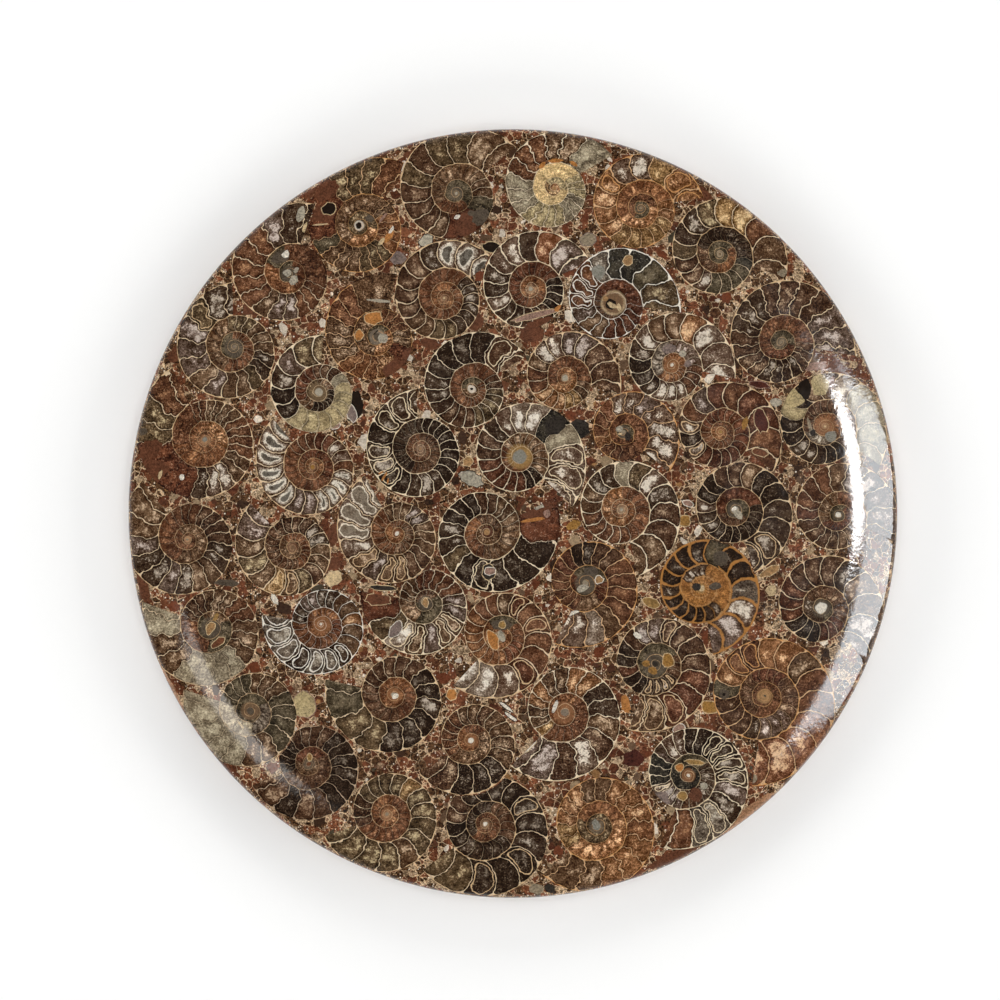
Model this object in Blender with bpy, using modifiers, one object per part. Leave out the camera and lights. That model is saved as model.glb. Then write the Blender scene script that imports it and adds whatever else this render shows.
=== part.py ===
"""A round, polished plate of sliced ammonites set in red breccia, lying face up.

X runs to the right of the polished face, Y to its top and Z up from the flat back, and the
origin is the middle of the back. Each ammonite is a shallow plug in a pocket of its own,
flush with the face. Lengths are in millimetres and angles in degrees, counterclockwise
from +X, until a mesh is made in metres.
"""

from collections import namedtuple
from math import cos, dist, hypot, radians, sin, sqrt

import bpy

MM = 0.001

# The plate is turned: a flat face, a soft shoulder, a rounded rim and a flat back.
PLATE_RADIUS = 125.0
PLATE_THICKNESS = 15.0
SHOULDER_START = 107.0
SHOULDER_END = 123.0
SHOULDER_DROP = 3.0
SHOULDER_RINGS = 2
RIM_LIP = 1.3
RIM_LIP_DROP = 1.0
RIM_TOP = 9.6
BACK_EDGE = 1.6
PLATE_SIDES = 80

# The ammonite halves are plugs with drafted sides, and each pocket clears its plug.
PLUG_DEPTH = 5.5
PLUG_DRAFT = 0.9
POCKET_GAP = 0.3
SHELL_SPACING = 1.2
RIM_REACH = PLATE_RADIUS - 0.8
CUT_ABOVE = 2.0

# An outline is worked out finely, then keeps only the points that its shape needs.
OUTLINE_STEPS = 360
MOUTH_STEPS = 40
OUTLINE_TOLERANCE = 0.45
LEAST_STEP = 0.3
NEIGHBOUR_REACH = 60.0

# One ammonite: its number, the middle of its coil, the angle and radius of its mouth, how
# much the radius grows in one turn, which way it coils inward, how far the coil leans (as a
# share of its radius) to one side, and its main colour.
Shell = namedtuple("Shell", "number x y mouth radius growth turn lean lean_angle look")

# Each ammonite is fitted round those above it in this list. Numbers run in rows from the
# top of the face, left to right.
SHELLS = [
    Shell("02", 13.2, 105.0, 30, 21.8, 2.30, 1, 0.00, 0, "chocolate"),
    Shell("01", -18.4, 103.4, 38, 24.6, 2.25, 1, 0.00, 0, "olive"),
    Shell("03", 41.2, 98.6, 10, 20.8, 1.95, 1, 0.00, 0, "amber"),
    Shell("04", 66.8, 83.8, -20, 22.8, 2.05, 1, 0.00, 0, "black"),
    Shell("06", -72.2, 77.4, 70, 24.2, 2.35, 1, 0.00, 0, "maroon"),
    Shell("05", -49.8, 93.0, 52, 24.2, 2.20, 1, 0.10, 0, "olive"),
    Shell("09", 32.4, 68.0, -8, 22.0, 2.30, 1, 0.00, 0, "black"),
    Shell("08", 5.8, 72.6, 25, 21.2, 2.12, 1, 0.00, 0, "chocolate"),
    Shell("07", -22.2, 69.6, 38, 20.4, 1.92, 1, 0.00, 0, "chocolate"),
    Shell("10", 86.4, 55.4, -10, 25.0, 2.30, 1, 0.00, 0, "olive"),
    Shell("11", -90.0, 53.8, 92, 22.4, 2.08, 1, 0.06, -90, "olive"),
    Shell("12", -43.8, 57.0, 70, 21.4, 2.25, 1, 0.00, 0, "amber"),
    Shell("13", -13.4, 40.2, 31, 20.8, 2.17, 1, 0.00, 0, "chocolate"),
    Shell("14", 16.8, 43.8, -15, 18.6, 2.15, 1, 0.00, 0, "maroon"),
    Shell("15", 51.4, 48.0, -12, 20.8, 2.10, 1, 0.00, 0, "black"),
    Shell("16", -62.8, 39.2, 85, 18.6, 2.05, 1, 0.00, 0, "amber"),
    Shell("17", 100.8, 28.2, -35, 22.0, 2.00, 1, 0.00, 0, "buff"),
    Shell("19", 67.0, 26.2, -36, 21.2, 2.12, 1, 0.00, 0, "maroon"),
    Shell("18", 35.4, 26.2, -45, 17.8, 2.19, 1, 0.13, -5, "maroon"),
    Shell("20", -99.4, 23.8, 115, 26.0, 2.12, 1, 0.00, 0, "maroon"),
    Shell("21", -64.6, 15.2, 130, 20.2, 1.97, 1, 0.00, 0, "maroon"),
    Shell("22", -29.8, 20.8, 95, 20.4, 1.95, 1, 0.04, -90, "chocolate"),
    Shell("27", -8.4, -6.0, 27, 24.8, 2.20, -1, 0.00, 0, "black"),
    Shell("23", 2.2, 18.4, -43, 23.4, 2.30, 1, 0.00, 0, "buff"),
    Shell("24", -105.0, -8.4, 128, 24.4, 2.30, 1, 0.00, 0, "chocolate"),
    Shell("25", -71.2, -11.0, 132, 20.0, 2.10, 1, 0.03, -120, "black"),
    Shell("26", -37.4, -6.4, 118, 22.0, 2.30, 1, 0.03, -110, "chocolate"),
    Shell("28", 35.0, 1.2, -75, 22.0, 2.07, 1, 0.00, 0, "chocolate"),
    Shell("29", 71.8, 1.2, -73, 21.2, 2.06, 1, 0.00, 0, "black"),
    Shell("30", 105.0, -0.4, -25, 21.4, 2.20, 1, 0.00, 0, "chocolate"),
    Shell("31", 23.4, -22.6, -117, 21.8, 2.30, 1, 0.00, 0, "maroon"),
    Shell("32", 60.8, -24.2, -80, 21.8, 1.98, 1, 0.00, 0, "black"),
    Shell("33", 99.4, -30.4, -50, 23.4, 2.35, 1, 0.00, 0, "maroon"),
    Shell("34", -97.4, -36.8, 160, 24.0, 2.29, 1, 0.00, 0, "chocolate"),
    Shell("35", -61.8, -35.8, 171, 19.4, 2.02, 1, 0.00, 0, "black"),
    Shell("36", -28.2, -28.8, 170, 21.4, 2.48, 1, 0.00, 0, "umber"),
    Shell("37", -4.2, -39.4, -133, 22.0, 2.12, 1, 0.00, 0, "amber"),
    Shell("38", 45.8, -48.6, -112, 22.8, 2.15, 1, 0.00, 0, "maroon"),
    Shell("39", 81.2, -58.8, -97, 28.2, 2.06, 1, 0.05, -110, "amber"),
    Shell("40", -84.8, -63.6, 163, 22.8, 2.20, 1, 0.00, 0, "umber"),
    Shell("41", -38.4, -58.6, 167, 22.8, 2.15, 1, 0.00, 0, "chocolate"),
    Shell("42", 16.6, -64.2, -135, 24.4, 2.30, 1, 0.00, 0, "amber"),
    Shell("43", -66.0, -80.8, 200, 21.2, 2.20, 1, 0.07, 0, "umber"),
    Shell("44", -13.6, -73.2, -147, 19.8, 2.25, 1, 0.00, 0, "olive"),
    Shell("45", 56.6, -84.4, -112, 24.6, 2.23, 1, 0.03, -80, "black"),
    Shell("46", -9.0, -100.2, -147, 25.6, 2.05, 1, 0.07, -40, "olive"),
    Shell("47", 27.2, -100.8, -138, 23.8, 1.96, 1, 0.00, 0, "amber"),
    Shell("48", -40.6, -97.0, 200, 22.0, 2.10, 1, 0.00, 0, "umber"),
]

MATRIX_COLOUR = (0.27, 0.08, 0.045)
SHELL_COLOURS = {
    "chocolate": (0.12, 0.055, 0.03),
    "olive": (0.16, 0.11, 0.05),
    "maroon": (0.16, 0.045, 0.03),
    "amber": (0.30, 0.14, 0.05),
    "black": (0.05, 0.04, 0.03),
    "umber": (0.17, 0.13, 0.10),
    "buff": (0.45, 0.33, 0.20),
}
POLISH_ROUGHNESS = 0.2


# ---------------------------------------------------------------- outlines, in millimetres

def whorl_point(shell, turn):
    """The shell's outer wall at this many turns inward from its mouth."""
    angle = radians(shell.mouth + shell.turn * 360 * turn)
    radius = shell.radius * shell.growth ** -turn
    lean = radius * shell.lean
    return (shell.x + radius * cos(angle) + lean * cos(radians(shell.lean_angle)),
            shell.y + radius * sin(angle) + lean * sin(radians(shell.lean_angle)))


def grown(outline, distance):
    """The counterclockwise outline moved outward by this distance, with mitred corners."""
    result = []
    for before, here, after in zip(outline[-1:] + outline[:-1], outline, outline[1:] + outline[:1]):
        normals = []
        for (x1, y1), (x2, y2) in ((before, here), (here, after)):
            length = hypot(x2 - x1, y2 - y1)
            normals.append(((y2 - y1) / length, (x1 - x2) / length))
        (nx1, ny1), (nx2, ny2) = normals
        mitre = distance / max(1 + nx1 * nx2 + ny1 * ny2, 0.35)
        result.append((here[0] + (nx1 + nx2) * mitre, here[1] + (ny1 + ny2) * mitre))
    return result


def simplified(points, tolerance):
    """The open run of points without those that lie within the tolerance of the rest."""
    (x1, y1), (x2, y2) = points[0], points[-1]
    length = max(hypot(x2 - x1, y2 - y1), 1e-6)
    offsets = [abs((x - x1) * (y2 - y1) - (y - y1) * (x2 - x1)) / length for x, y in points]
    farthest = offsets.index(max(offsets))
    if offsets[farthest] < tolerance:
        return [points[0], points[-1]]
    first_half = simplified(points[:farthest + 1], tolerance)
    return first_half[:-1] + simplified(points[farthest:], tolerance)


def free_share(shell, point, taken):
    """How much of the way from the middle of the coil to the point is free of the others."""
    dx, dy = point[0] - shell.x, point[1] - shell.y
    square = dx * dx + dy * dy
    along = shell.x * dx + shell.y * dy
    room = shell.x ** 2 + shell.y ** 2 - RIM_REACH ** 2
    share = min(1, (sqrt(along ** 2 - square * room) - along) / square)
    for outline in taken:
        for (x1, y1), (x2, y2) in zip(outline, outline[1:] + outline[:1]):
            ex, ey = x2 - x1, y2 - y1
            wx, wy = x1 - shell.x, y1 - shell.y
            cross = dx * ey - dy * ex
            if cross and 0 <= (wx * dy - wy * dx) / cross <= 1:
                met = (wx * ey - wy * ex) / cross
                if 0 < met < share:
                    share = met
    return share


def whole_outline(shell):
    """The shell's last whorl, once round from its mouth, then out along the mouth."""
    outline = [whorl_point(shell, step / OUTLINE_STEPS) for step in range(OUTLINE_STEPS)]
    (x1, y1), (x2, y2) = whorl_point(shell, 1), whorl_point(shell, 0)
    for step in range(MOUTH_STEPS):
        share = step / MOUTH_STEPS
        outline.append((x1 + (x2 - x1) * share, y1 + (y2 - y1) * share))
    return outline


def fitted_outline(shell, taken):
    """The shell's outline, drawn in toward its middle where others or the rim are in the way."""
    fitted = []
    for x, y in whole_outline(shell):
        share = free_share(shell, (x, y), taken)
        here = (shell.x + (x - shell.x) * share, shell.y + (y - shell.y) * share)
        if not fitted or dist(here, fitted[-1]) > LEAST_STEP < dist(here, fitted[0]):
            fitted.append(here)
    fitted = simplified(fitted, OUTLINE_TOLERANCE)
    if shell.turn < 0:
        fitted.reverse()
    return fitted


def shell_outlines():
    """Each shell's number with its outline, none nearer to another than the spacing."""
    outlines = {}
    placed = []
    for shell in SHELLS:
        taken = [ground for other, ground in placed
                 if dist((shell.x, shell.y), (other.x, other.y)) < NEIGHBOUR_REACH]
        outlines[shell.number] = fitted_outline(shell, taken)
        placed.append((shell, grown(outlines[shell.number], SHELL_SPACING)))
    return outlines


def plate_profile():
    """Half of the plate's section, from the middle of the face round the rim to the back."""
    profile = [(0, PLATE_THICKNESS)]
    for ring in range(SHOULDER_RINGS + 1):
        share = ring / SHOULDER_RINGS
        radius = SHOULDER_START + (SHOULDER_END - SHOULDER_START) * share
        profile.append((radius, PLATE_THICKNESS - SHOULDER_DROP * share ** 2))
    profile += [
        (SHOULDER_END + RIM_LIP, PLATE_THICKNESS - SHOULDER_DROP - RIM_LIP_DROP),
        (PLATE_RADIUS, RIM_TOP),
        (PLATE_RADIUS, BACK_EDGE),
        (PLATE_RADIUS - BACK_EDGE, 0),
        (0, 0),
    ]
    return profile


# ---------------------------------------------------------------- objects, in metres

def clear_scene():
    for thing in list(bpy.data.objects):
        bpy.data.objects.remove(thing)


def new_collection(name):
    collection = bpy.data.collections.new(name)
    bpy.context.scene.collection.children.link(collection)
    return collection


def stone_material(name, colour):
    material = bpy.data.materials.new(name)
    material.use_nodes = True
    shader = material.node_tree.nodes["Principled BSDF"]
    shader.inputs["Base Color"].default_value = (*colour, 1)
    shader.inputs["Roughness"].default_value = POLISH_ROUGHNESS
    shader.inputs["Metallic"].default_value = 0
    return material


def as_guide(thing):
    """Leave the object out of renders, as a cutter."""
    thing.hide_render = True
    thing.display_type = "WIRE"


def turned_plate(name, collection):
    """The whole plate: its profile turned round Z, with each flat side made one face."""
    mesh = bpy.data.meshes.new(name)
    points = [(radius * MM, 0, height * MM) for radius, height in plate_profile()]
    edges = [(index, index + 1) for index in range(len(points) - 1)]
    mesh.from_pydata(points, edges, [])
    plate = bpy.data.objects.new(name, mesh)
    collection.objects.link(plate)
    screw = plate.modifiers.new("turned", "SCREW")
    screw.steps = PLATE_SIDES
    screw.render_steps = PLATE_SIDES
    screw.use_merge_vertices = True
    screw.merge_threshold = 0.00001
    flat = plate.modifiers.new("flat sides", "DECIMATE")
    flat.decimate_type = "DISSOLVE"
    flat.angle_limit = radians(1)
    return plate


def prism(name, outline, bottom, top, draft, centre, collection):
    """A solid with this outline, whose sides draw in toward the centre at the bottom."""
    curve = bpy.data.curves.new(name, "CURVE")
    curve.dimensions = "2D"
    curve.fill_mode = "BOTH"
    curve.extrude = (top - bottom) / 2 * MM
    spline = curve.splines.new("POLY")
    spline.points.add(len(outline) - 1)
    for point, (x, y) in zip(spline.points, outline):
        point.co = (x * MM, y * MM, 0, 1)
    spline.use_cyclic_u = True
    drawn = bpy.data.objects.new(name + "_outline", curve)
    collection.objects.link(drawn)
    depsgraph = bpy.context.evaluated_depsgraph_get()
    mesh = bpy.data.meshes.new_from_object(drawn.evaluated_get(depsgraph))
    bpy.data.objects.remove(drawn)
    solid = bpy.data.objects.new(name, mesh)
    collection.objects.link(solid)
    lift = (top + bottom) / 2 * MM
    for vertex in mesh.vertices:
        if vertex.co.z < 0:
            vertex.co.x = centre[0] * MM + (vertex.co.x - centre[0] * MM) * draft
            vertex.co.y = centre[1] * MM + (vertex.co.y - centre[1] * MM) * draft
        vertex.co.z += lift
    weld = solid.modifiers.new("closed", "WELD")
    weld.merge_threshold = 0.00001
    return solid


def boolean(thing, operation, **operand):
    cut = thing.modifiers.new(operation.lower(), "BOOLEAN")
    cut.operation = operation
    cut.solver = "EXACT"
    for name, value in operand.items():
        setattr(cut, name, value)


def build():
    clear_scene()
    parts = new_collection("ammonite_fossil_slice")
    guides = new_collection("guides")
    pockets = new_collection("pockets")

    blank = turned_plate("plate_blank", guides)
    as_guide(blank)

    face_cut = PLATE_THICKNESS + CUT_ABOVE
    plug_bottom = PLATE_THICKNESS - PLUG_DEPTH
    outlines = shell_outlines()
    for shell in SHELLS:
        outline = outlines[shell.number]
        centre = (shell.x, shell.y)
        ammonite = prism("ammonite_" + shell.number, outline, plug_bottom, face_cut,
                         PLUG_DRAFT, centre, parts)
        boolean(ammonite, "INTERSECT", object=blank)
        material = stone_material(ammonite.name, SHELL_COLOURS[shell.look])
        ammonite.data.materials.append(material)
        pocket = prism("pocket_" + shell.number, grown(outline, POCKET_GAP),
                       plug_bottom - POCKET_GAP, face_cut, PLUG_DRAFT, centre, pockets)
        as_guide(pocket)

    matrix = turned_plate("breccia_plate", parts)
    boolean(matrix, "DIFFERENCE", operand_type="COLLECTION", collection=pockets)
    matrix.data.materials.append(stone_material("breccia_plate", MATRIX_COLOUR))


build()
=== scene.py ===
"""A polished round plate of sliced ammonites in red breccia, lying face up on a pale floor.

Each ammonite is one flush piece with a coil drawn by its own material: whorls on a
logarithmic spiral, chambers between curved septa, and a mineral filling for each stretch of
the coil. The breccia round them is one piece with angular chips. Plan lengths are in
millimetres and angles in degrees, counterclockwise from +X, until a mesh is made in metres.
"""

import random
from collections import namedtuple
from math import asin, atan2, cos, e, hypot, log, pi, radians, sin, tau
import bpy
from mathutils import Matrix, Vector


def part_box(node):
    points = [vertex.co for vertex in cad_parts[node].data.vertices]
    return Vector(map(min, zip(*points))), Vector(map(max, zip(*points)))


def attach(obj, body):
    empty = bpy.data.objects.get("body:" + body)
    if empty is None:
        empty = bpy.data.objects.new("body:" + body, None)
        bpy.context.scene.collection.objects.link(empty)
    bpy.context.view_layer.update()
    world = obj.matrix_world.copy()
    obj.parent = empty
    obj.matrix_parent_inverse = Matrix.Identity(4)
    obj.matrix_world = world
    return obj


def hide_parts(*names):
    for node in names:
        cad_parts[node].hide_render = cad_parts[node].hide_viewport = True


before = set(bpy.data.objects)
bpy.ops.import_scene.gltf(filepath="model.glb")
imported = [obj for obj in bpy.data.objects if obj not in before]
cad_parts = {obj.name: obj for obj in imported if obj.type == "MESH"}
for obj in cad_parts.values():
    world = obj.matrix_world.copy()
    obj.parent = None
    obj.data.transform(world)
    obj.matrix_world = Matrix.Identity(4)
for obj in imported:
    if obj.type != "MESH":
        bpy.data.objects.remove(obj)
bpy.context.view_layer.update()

from types import SimpleNamespace

import bpy
import numpy as np
from mathutils import Vector
from mathutils.geometry import delaunay_2d_cdt
from mathutils.noise import noise as noise_value

MM = 0.001

# ------------------------ the plate's sizes

# As in the model's solids. The face is flat out to the shoulder's start, and its mesh ends a
# little way over the rim. The plugs are the ammonites, drawn in a little toward their floor.
_, PLATE_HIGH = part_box("breccia_plate")
PLATE_RADIUS = PLATE_HIGH.x / MM
PLATE_THICKNESS = PLATE_HIGH.z / MM
SHOULDER_START = 107.0
SHOULDER_END = 123.0
SHOULDER_DROP = 3.0
FACE_EDGE = 124.6
BACK_EDGE = 1.6
PLUG_DEPTH = 5.5
PLUG_DRAFT = 0.9

# ------------------------ outlines in plan

OUTLINE_STEPS = 540
MOUTH_STEPS = 40
OUTLINE_TOLERANCE = 0.03
LEAST_STEP = 0.12
SHELL_SPACING = 0.45
POCKET_GAP = 0.04
RIM_REACH = PLATE_RADIUS - 0.8
NEIGHBOUR_REACH = 60.0
SHARPEST_MITRE = 0.35

# The ammonites as in the model's solids. Each row has a number, the middle of the coil, the
# angle and radius of the mouth, the growth in a turn and, where they aren't 1, 0 and 0, the way
# it coils inward, how much it leans and to which side. Each is fitted round those above it.
Shell = namedtuple("Shell", "number x y mouth radius growth turn lean lean_angle",
                   defaults=(1, 0, 0))
SHELL_TABLE = """
02 13.2 105 30 21.8 2.3
01 -18.4 103.4 38 24.6 2.25
03 41.2 98.6 10 20.8 1.95
04 66.8 83.8 -20 22.8 2.05
06 -72.2 77.4 70 24.2 2.35
05 -49.8 93 52 24.2 2.2 1 .1 0
09 32.4 68 -8 22 2.3
08 5.8 72.6 25 21.2 2.12
07 -22.2 69.6 38 20.4 1.92
10 86.4 55.4 -10 25 2.3
11 -90 53.8 92 22.4 2.08 1 .06 -90
12 -43.8 57 70 21.4 2.25
13 -13.4 40.2 31 20.8 2.17
14 16.8 43.8 -15 18.6 2.15
15 51.4 48 -12 20.8 2.1
16 -62.8 39.2 85 18.6 2.05
17 100.8 28.2 -35 22 2
19 67 26.2 -36 21.2 2.12
18 35.4 26.2 -45 17.8 2.19 1 .13 -5
20 -99.4 23.8 115 26 2.12
21 -64.6 15.2 130 20.2 1.97
22 -29.8 20.8 95 20.4 1.95 1 .04 -90
27 -8.4 -6 27 24.8 2.2 -1
23 2.2 18.4 -43 23.4 2.3
24 -105 -8.4 128 24.4 2.3
25 -71.2 -11 132 20 2.1 1 .03 -120
26 -37.4 -6.4 118 22 2.3 1 .03 -110
28 35 1.2 -75 22 2.07
29 71.8 1.2 -73 21.2 2.06
30 105 -.4 -25 21.4 2.2
31 23.4 -22.6 -117 21.8 2.3
32 60.8 -24.2 -80 21.8 1.98
33 99.4 -30.4 -50 23.4 2.35
34 -97.4 -36.8 160 24 2.29
35 -61.8 -35.8 171 19.4 2.02
36 -28.2 -28.8 170 21.4 2.48
37 -4.2 -39.4 -133 22 2.12
38 45.8 -48.6 -112 22.8 2.15
39 81.2 -58.8 -97 28.2 2.06 1 .05 -110
40 -84.8 -63.6 163 22.8 2.2
41 -38.4 -58.6 167 22.8 2.15
42 16.6 -64.2 -135 24.4 2.3
43 -66 -80.8 200 21.2 2.2 1 .07 0
44 -13.6 -73.2 -147 19.8 2.25
45 56.6 -84.4 -112 24.6 2.23 1 .03 -80
46 -9 -100.2 -147 25.6 2.05 1 .07 -40
47 27.2 -100.8 -138 23.8 1.96
48 -40.6 -97 200 22 2.1
"""


def parsed_shells():
    rows = (row.split() for row in SHELL_TABLE.strip().splitlines())
    return [Shell(number, *map(float, values)) for number, *values in rows]


SHELLS = parsed_shells()


def direction(angle):
    return np.array((cos(radians(angle)), sin(radians(angle))))


def whorl_points(shell, turns):
    """The shell's outer wall at these numbers of turns inward from its mouth."""
    angles = np.radians(shell.mouth + shell.turn * 360 * turns)
    radii = shell.radius * shell.growth ** -turns
    rays = np.stack((np.cos(angles), np.sin(angles)), 1)
    lean = shell.lean * direction(shell.lean_angle)
    return (shell.x, shell.y) + radii[:, None] * (rays + lean)


def grown(outline, distance):
    """The counterclockwise outline moved outward by this distance, with mitred corners."""
    forward = np.roll(outline, -1, 0) - outline
    normals = np.stack((forward[:, 1], -forward[:, 0]), 1)
    normals /= np.linalg.norm(normals, axis=1)[:, None]
    before = np.roll(normals, 1, 0)
    mitre = distance / np.maximum(1 + (normals * before).sum(1), SHARPEST_MITRE)
    return outline + (normals + before) * mitre[:, None]


def simplified(points, tolerance):
    """The open run of points without those that lie within the tolerance of the rest."""
    span = points[-1] - points[0]
    length = max(hypot(*span), 1e-6)
    away = points - points[0]
    offsets = np.abs(away[:, 0] * span[1] - away[:, 1] * span[0]) / length
    farthest = int(offsets.argmax())
    if offsets[farthest] < tolerance:
        return [points[0], points[-1]]
    first_half = simplified(points[:farthest + 1], tolerance)
    return first_half[:-1] + simplified(points[farthest:], tolerance)


def free_shares(shell, points, walls):
    """How much of the way from the middle of the coil to each point is free of the walls."""
    centre = np.array((shell.x, shell.y))
    rays = points - centre
    square = (rays ** 2).sum(1)
    along = rays @ centre
    room = centre @ centre - RIM_REACH ** 2
    shares = np.minimum(1, (np.sqrt(along ** 2 - square * room) - along) / square)
    if len(walls):
        offsets = walls[:, 0] - centre
        edges = walls[:, 1] - walls[:, 0]
        with np.errstate(divide="ignore", invalid="ignore"):
            cross = rays[:, :1] * edges[:, 1] - rays[:, 1:] * edges[:, 0]
            met = (offsets[:, 0] * edges[:, 1] - offsets[:, 1] * edges[:, 0]) / cross
            place = (offsets[:, 0] * rays[:, 1:] - offsets[:, 1] * rays[:, :1]) / cross
            hit = (place >= 0) & (place <= 1) & (met > 0)
        shares = np.minimum(shares, np.where(hit, met, 1).min(1))
    return shares


def fitted_outline(shell, walls):
    """The shell's last whorl and mouth, drawn in where others or the rim are in the way."""
    whorl = whorl_points(shell, np.arange(OUTLINE_STEPS) / OUTLINE_STEPS)
    inner, outer = whorl_points(shell, np.array((1.0, 0.0)))
    mouth = inner + (outer - inner) * (np.arange(MOUTH_STEPS) / MOUTH_STEPS)[:, None]
    points = np.concatenate((whorl, mouth))
    centre = np.array((shell.x, shell.y))
    points = centre + (points - centre) * free_shares(shell, points, walls)[:, None]
    kept = [points[0]]
    for point in points[1:]:
        if hypot(*(point - kept[-1])) > LEAST_STEP < hypot(*(point - kept[0])):
            kept.append(point)
    kept = simplified(np.array(kept), OUTLINE_TOLERANCE)
    return np.array(kept if shell.turn > 0 else kept[::-1])


def shell_outlines():
    """Each shell with its outline, none nearer to another than the spacing."""
    outlines = []
    for shell in SHELLS:
        near = [grown(outline, SHELL_SPACING) for other, outline in outlines
                if hypot(shell.x - other.x, shell.y - other.y) < NEIGHBOUR_REACH]
        walls = [np.stack((ground, np.roll(ground, -1, 0)), 1) for ground in near]
        walls = np.concatenate(walls) if walls else np.zeros((0, 2, 2))
        outlines.append((shell, fitted_outline(shell, walls)))
    return outlines


# ------------------------ the plate's section

SHOULDER_SLOPE = 2 * SHOULDER_DROP / (SHOULDER_END - SHOULDER_START)
SHOULDER_TILT = atan2(SHOULDER_SLOPE, 1)
RIM_BEND = (PLATE_RADIUS - SHOULDER_END) / (1 - sin(SHOULDER_TILT))
RIM_STEPS = 6


def rim_angle(radius):
    """How far the surface has turned over at this radius on the rim's bend."""
    return asin(sin(SHOULDER_TILT) + (radius - SHOULDER_END) / RIM_BEND)


def rim_height(angle):
    return PLATE_THICKNESS - SHOULDER_DROP - RIM_BEND * (cos(SHOULDER_TILT) - cos(angle))


def past_shoulder(radius):
    """0 on the flat of the face, rising to 1 at the shoulder's end."""
    return max(0.0, radius - SHOULDER_START) / (SHOULDER_END - SHOULDER_START)


def face_height(radius):
    """The face is flat in the middle, falls away over the shoulder and bends down at the rim."""
    if radius > SHOULDER_END:
        return rim_height(rim_angle(radius))
    return PLATE_THICKNESS - SHOULDER_DROP * past_shoulder(radius) ** 2


def face_normal(x, y):
    radius = hypot(x, y)
    if radius > SHOULDER_END:
        tilt = rim_angle(radius)
    else:
        tilt = atan2(SHOULDER_SLOPE * past_shoulder(radius), 1)
    outward = sin(tilt) / max(radius, 1.0)
    return Vector((x * outward, y * outward, cos(tilt)))


def rim_rings():
    """(radius, height, outward and upward parts of the normal) from the face to the back."""
    rings = []
    start = rim_angle(FACE_EDGE)
    for step in range(1, RIM_STEPS + 1):
        angle = start + (pi / 2 - start) * step / RIM_STEPS
        radius = SHOULDER_END + RIM_BEND * (sin(angle) - sin(SHOULDER_TILT))
        rings.append((radius, rim_height(angle), sin(angle), cos(angle)))
    for step in range(RIM_STEPS + 1):
        angle = pi / 2 * step / RIM_STEPS
        rings.append((PLATE_RADIUS - BACK_EDGE * (1 - cos(angle)),
                      BACK_EDGE * (1 - sin(angle)), cos(angle), -sin(angle)))
    return rings


# ------------------------ meshes

# The points that let a face curve: how far apart they are in an ammonite and in the breccia,
# where they start and end, and the circles of them on the rim.
FOSSIL_GRID = 2.5
BRECCIA_GRID = 3.0
ROW_SPACING = 0.87
GRID_START = SHOULDER_START - 4
GRID_END = SHOULDER_END - 1
RIM_SIDES = 288
RIM_CIRCLES = (SHOULDER_END, SHOULDER_END + 0.6, SHOULDER_END + 1.1)
NEAREST_POINTS = 1e-4

# A patch of colour on a face: its outline, its colour and how much the grain shows in it.
Chip = namedtuple("Chip", "outline colour grain")
BARE = Chip(None, (0.0, 0.0, 0.0), 0.0)


def triangulated(ground, holes, chips, scatter):
    """Triangles that fill the ground less the holes, each with the last chip that it lies in."""
    points, faces = [], []
    for outline in [ground] + holes + [chip.outline for chip in chips]:
        faces.append(list(range(len(points), len(points) + len(outline))))
        points.extend(Vector(point) for point in outline)
    points.extend(Vector(point) for point in scatter)
    places, _, triangles, _, _, origins = delaunay_2d_cdt(points, [], faces, 1, NEAREST_POINTS)
    kept, worn = [], []
    first_chip = 1 + len(holes)
    for triangle, origin in zip(triangles, origins):
        inside = set(origin)
        if 0 in inside and not any(0 < face < first_chip for face in inside):
            kept.append(list(triangle))
            worn.append(max(inside) - first_chip if max(inside) >= first_chip else None)
    return [(place.x, place.y) for place in places], kept, worn


def open_edges(triangles):
    """The directed edges that only one triangle has."""
    directed = {(t[i], t[i - 2]) for t in triangles for i in range(3)}
    return {a: b for a, b in directed if (b, a) not in directed}


def edge_loops(following):
    """Closed loops of vertices, each with the surface on its left."""
    loops = []
    rest = dict(following)
    while rest:
        start, here = rest.popitem()
        loop = [start]
        while here != start:
            loop.append(here)
            here = rest.pop(here)
        loops.append(loop)
    return loops


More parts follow.
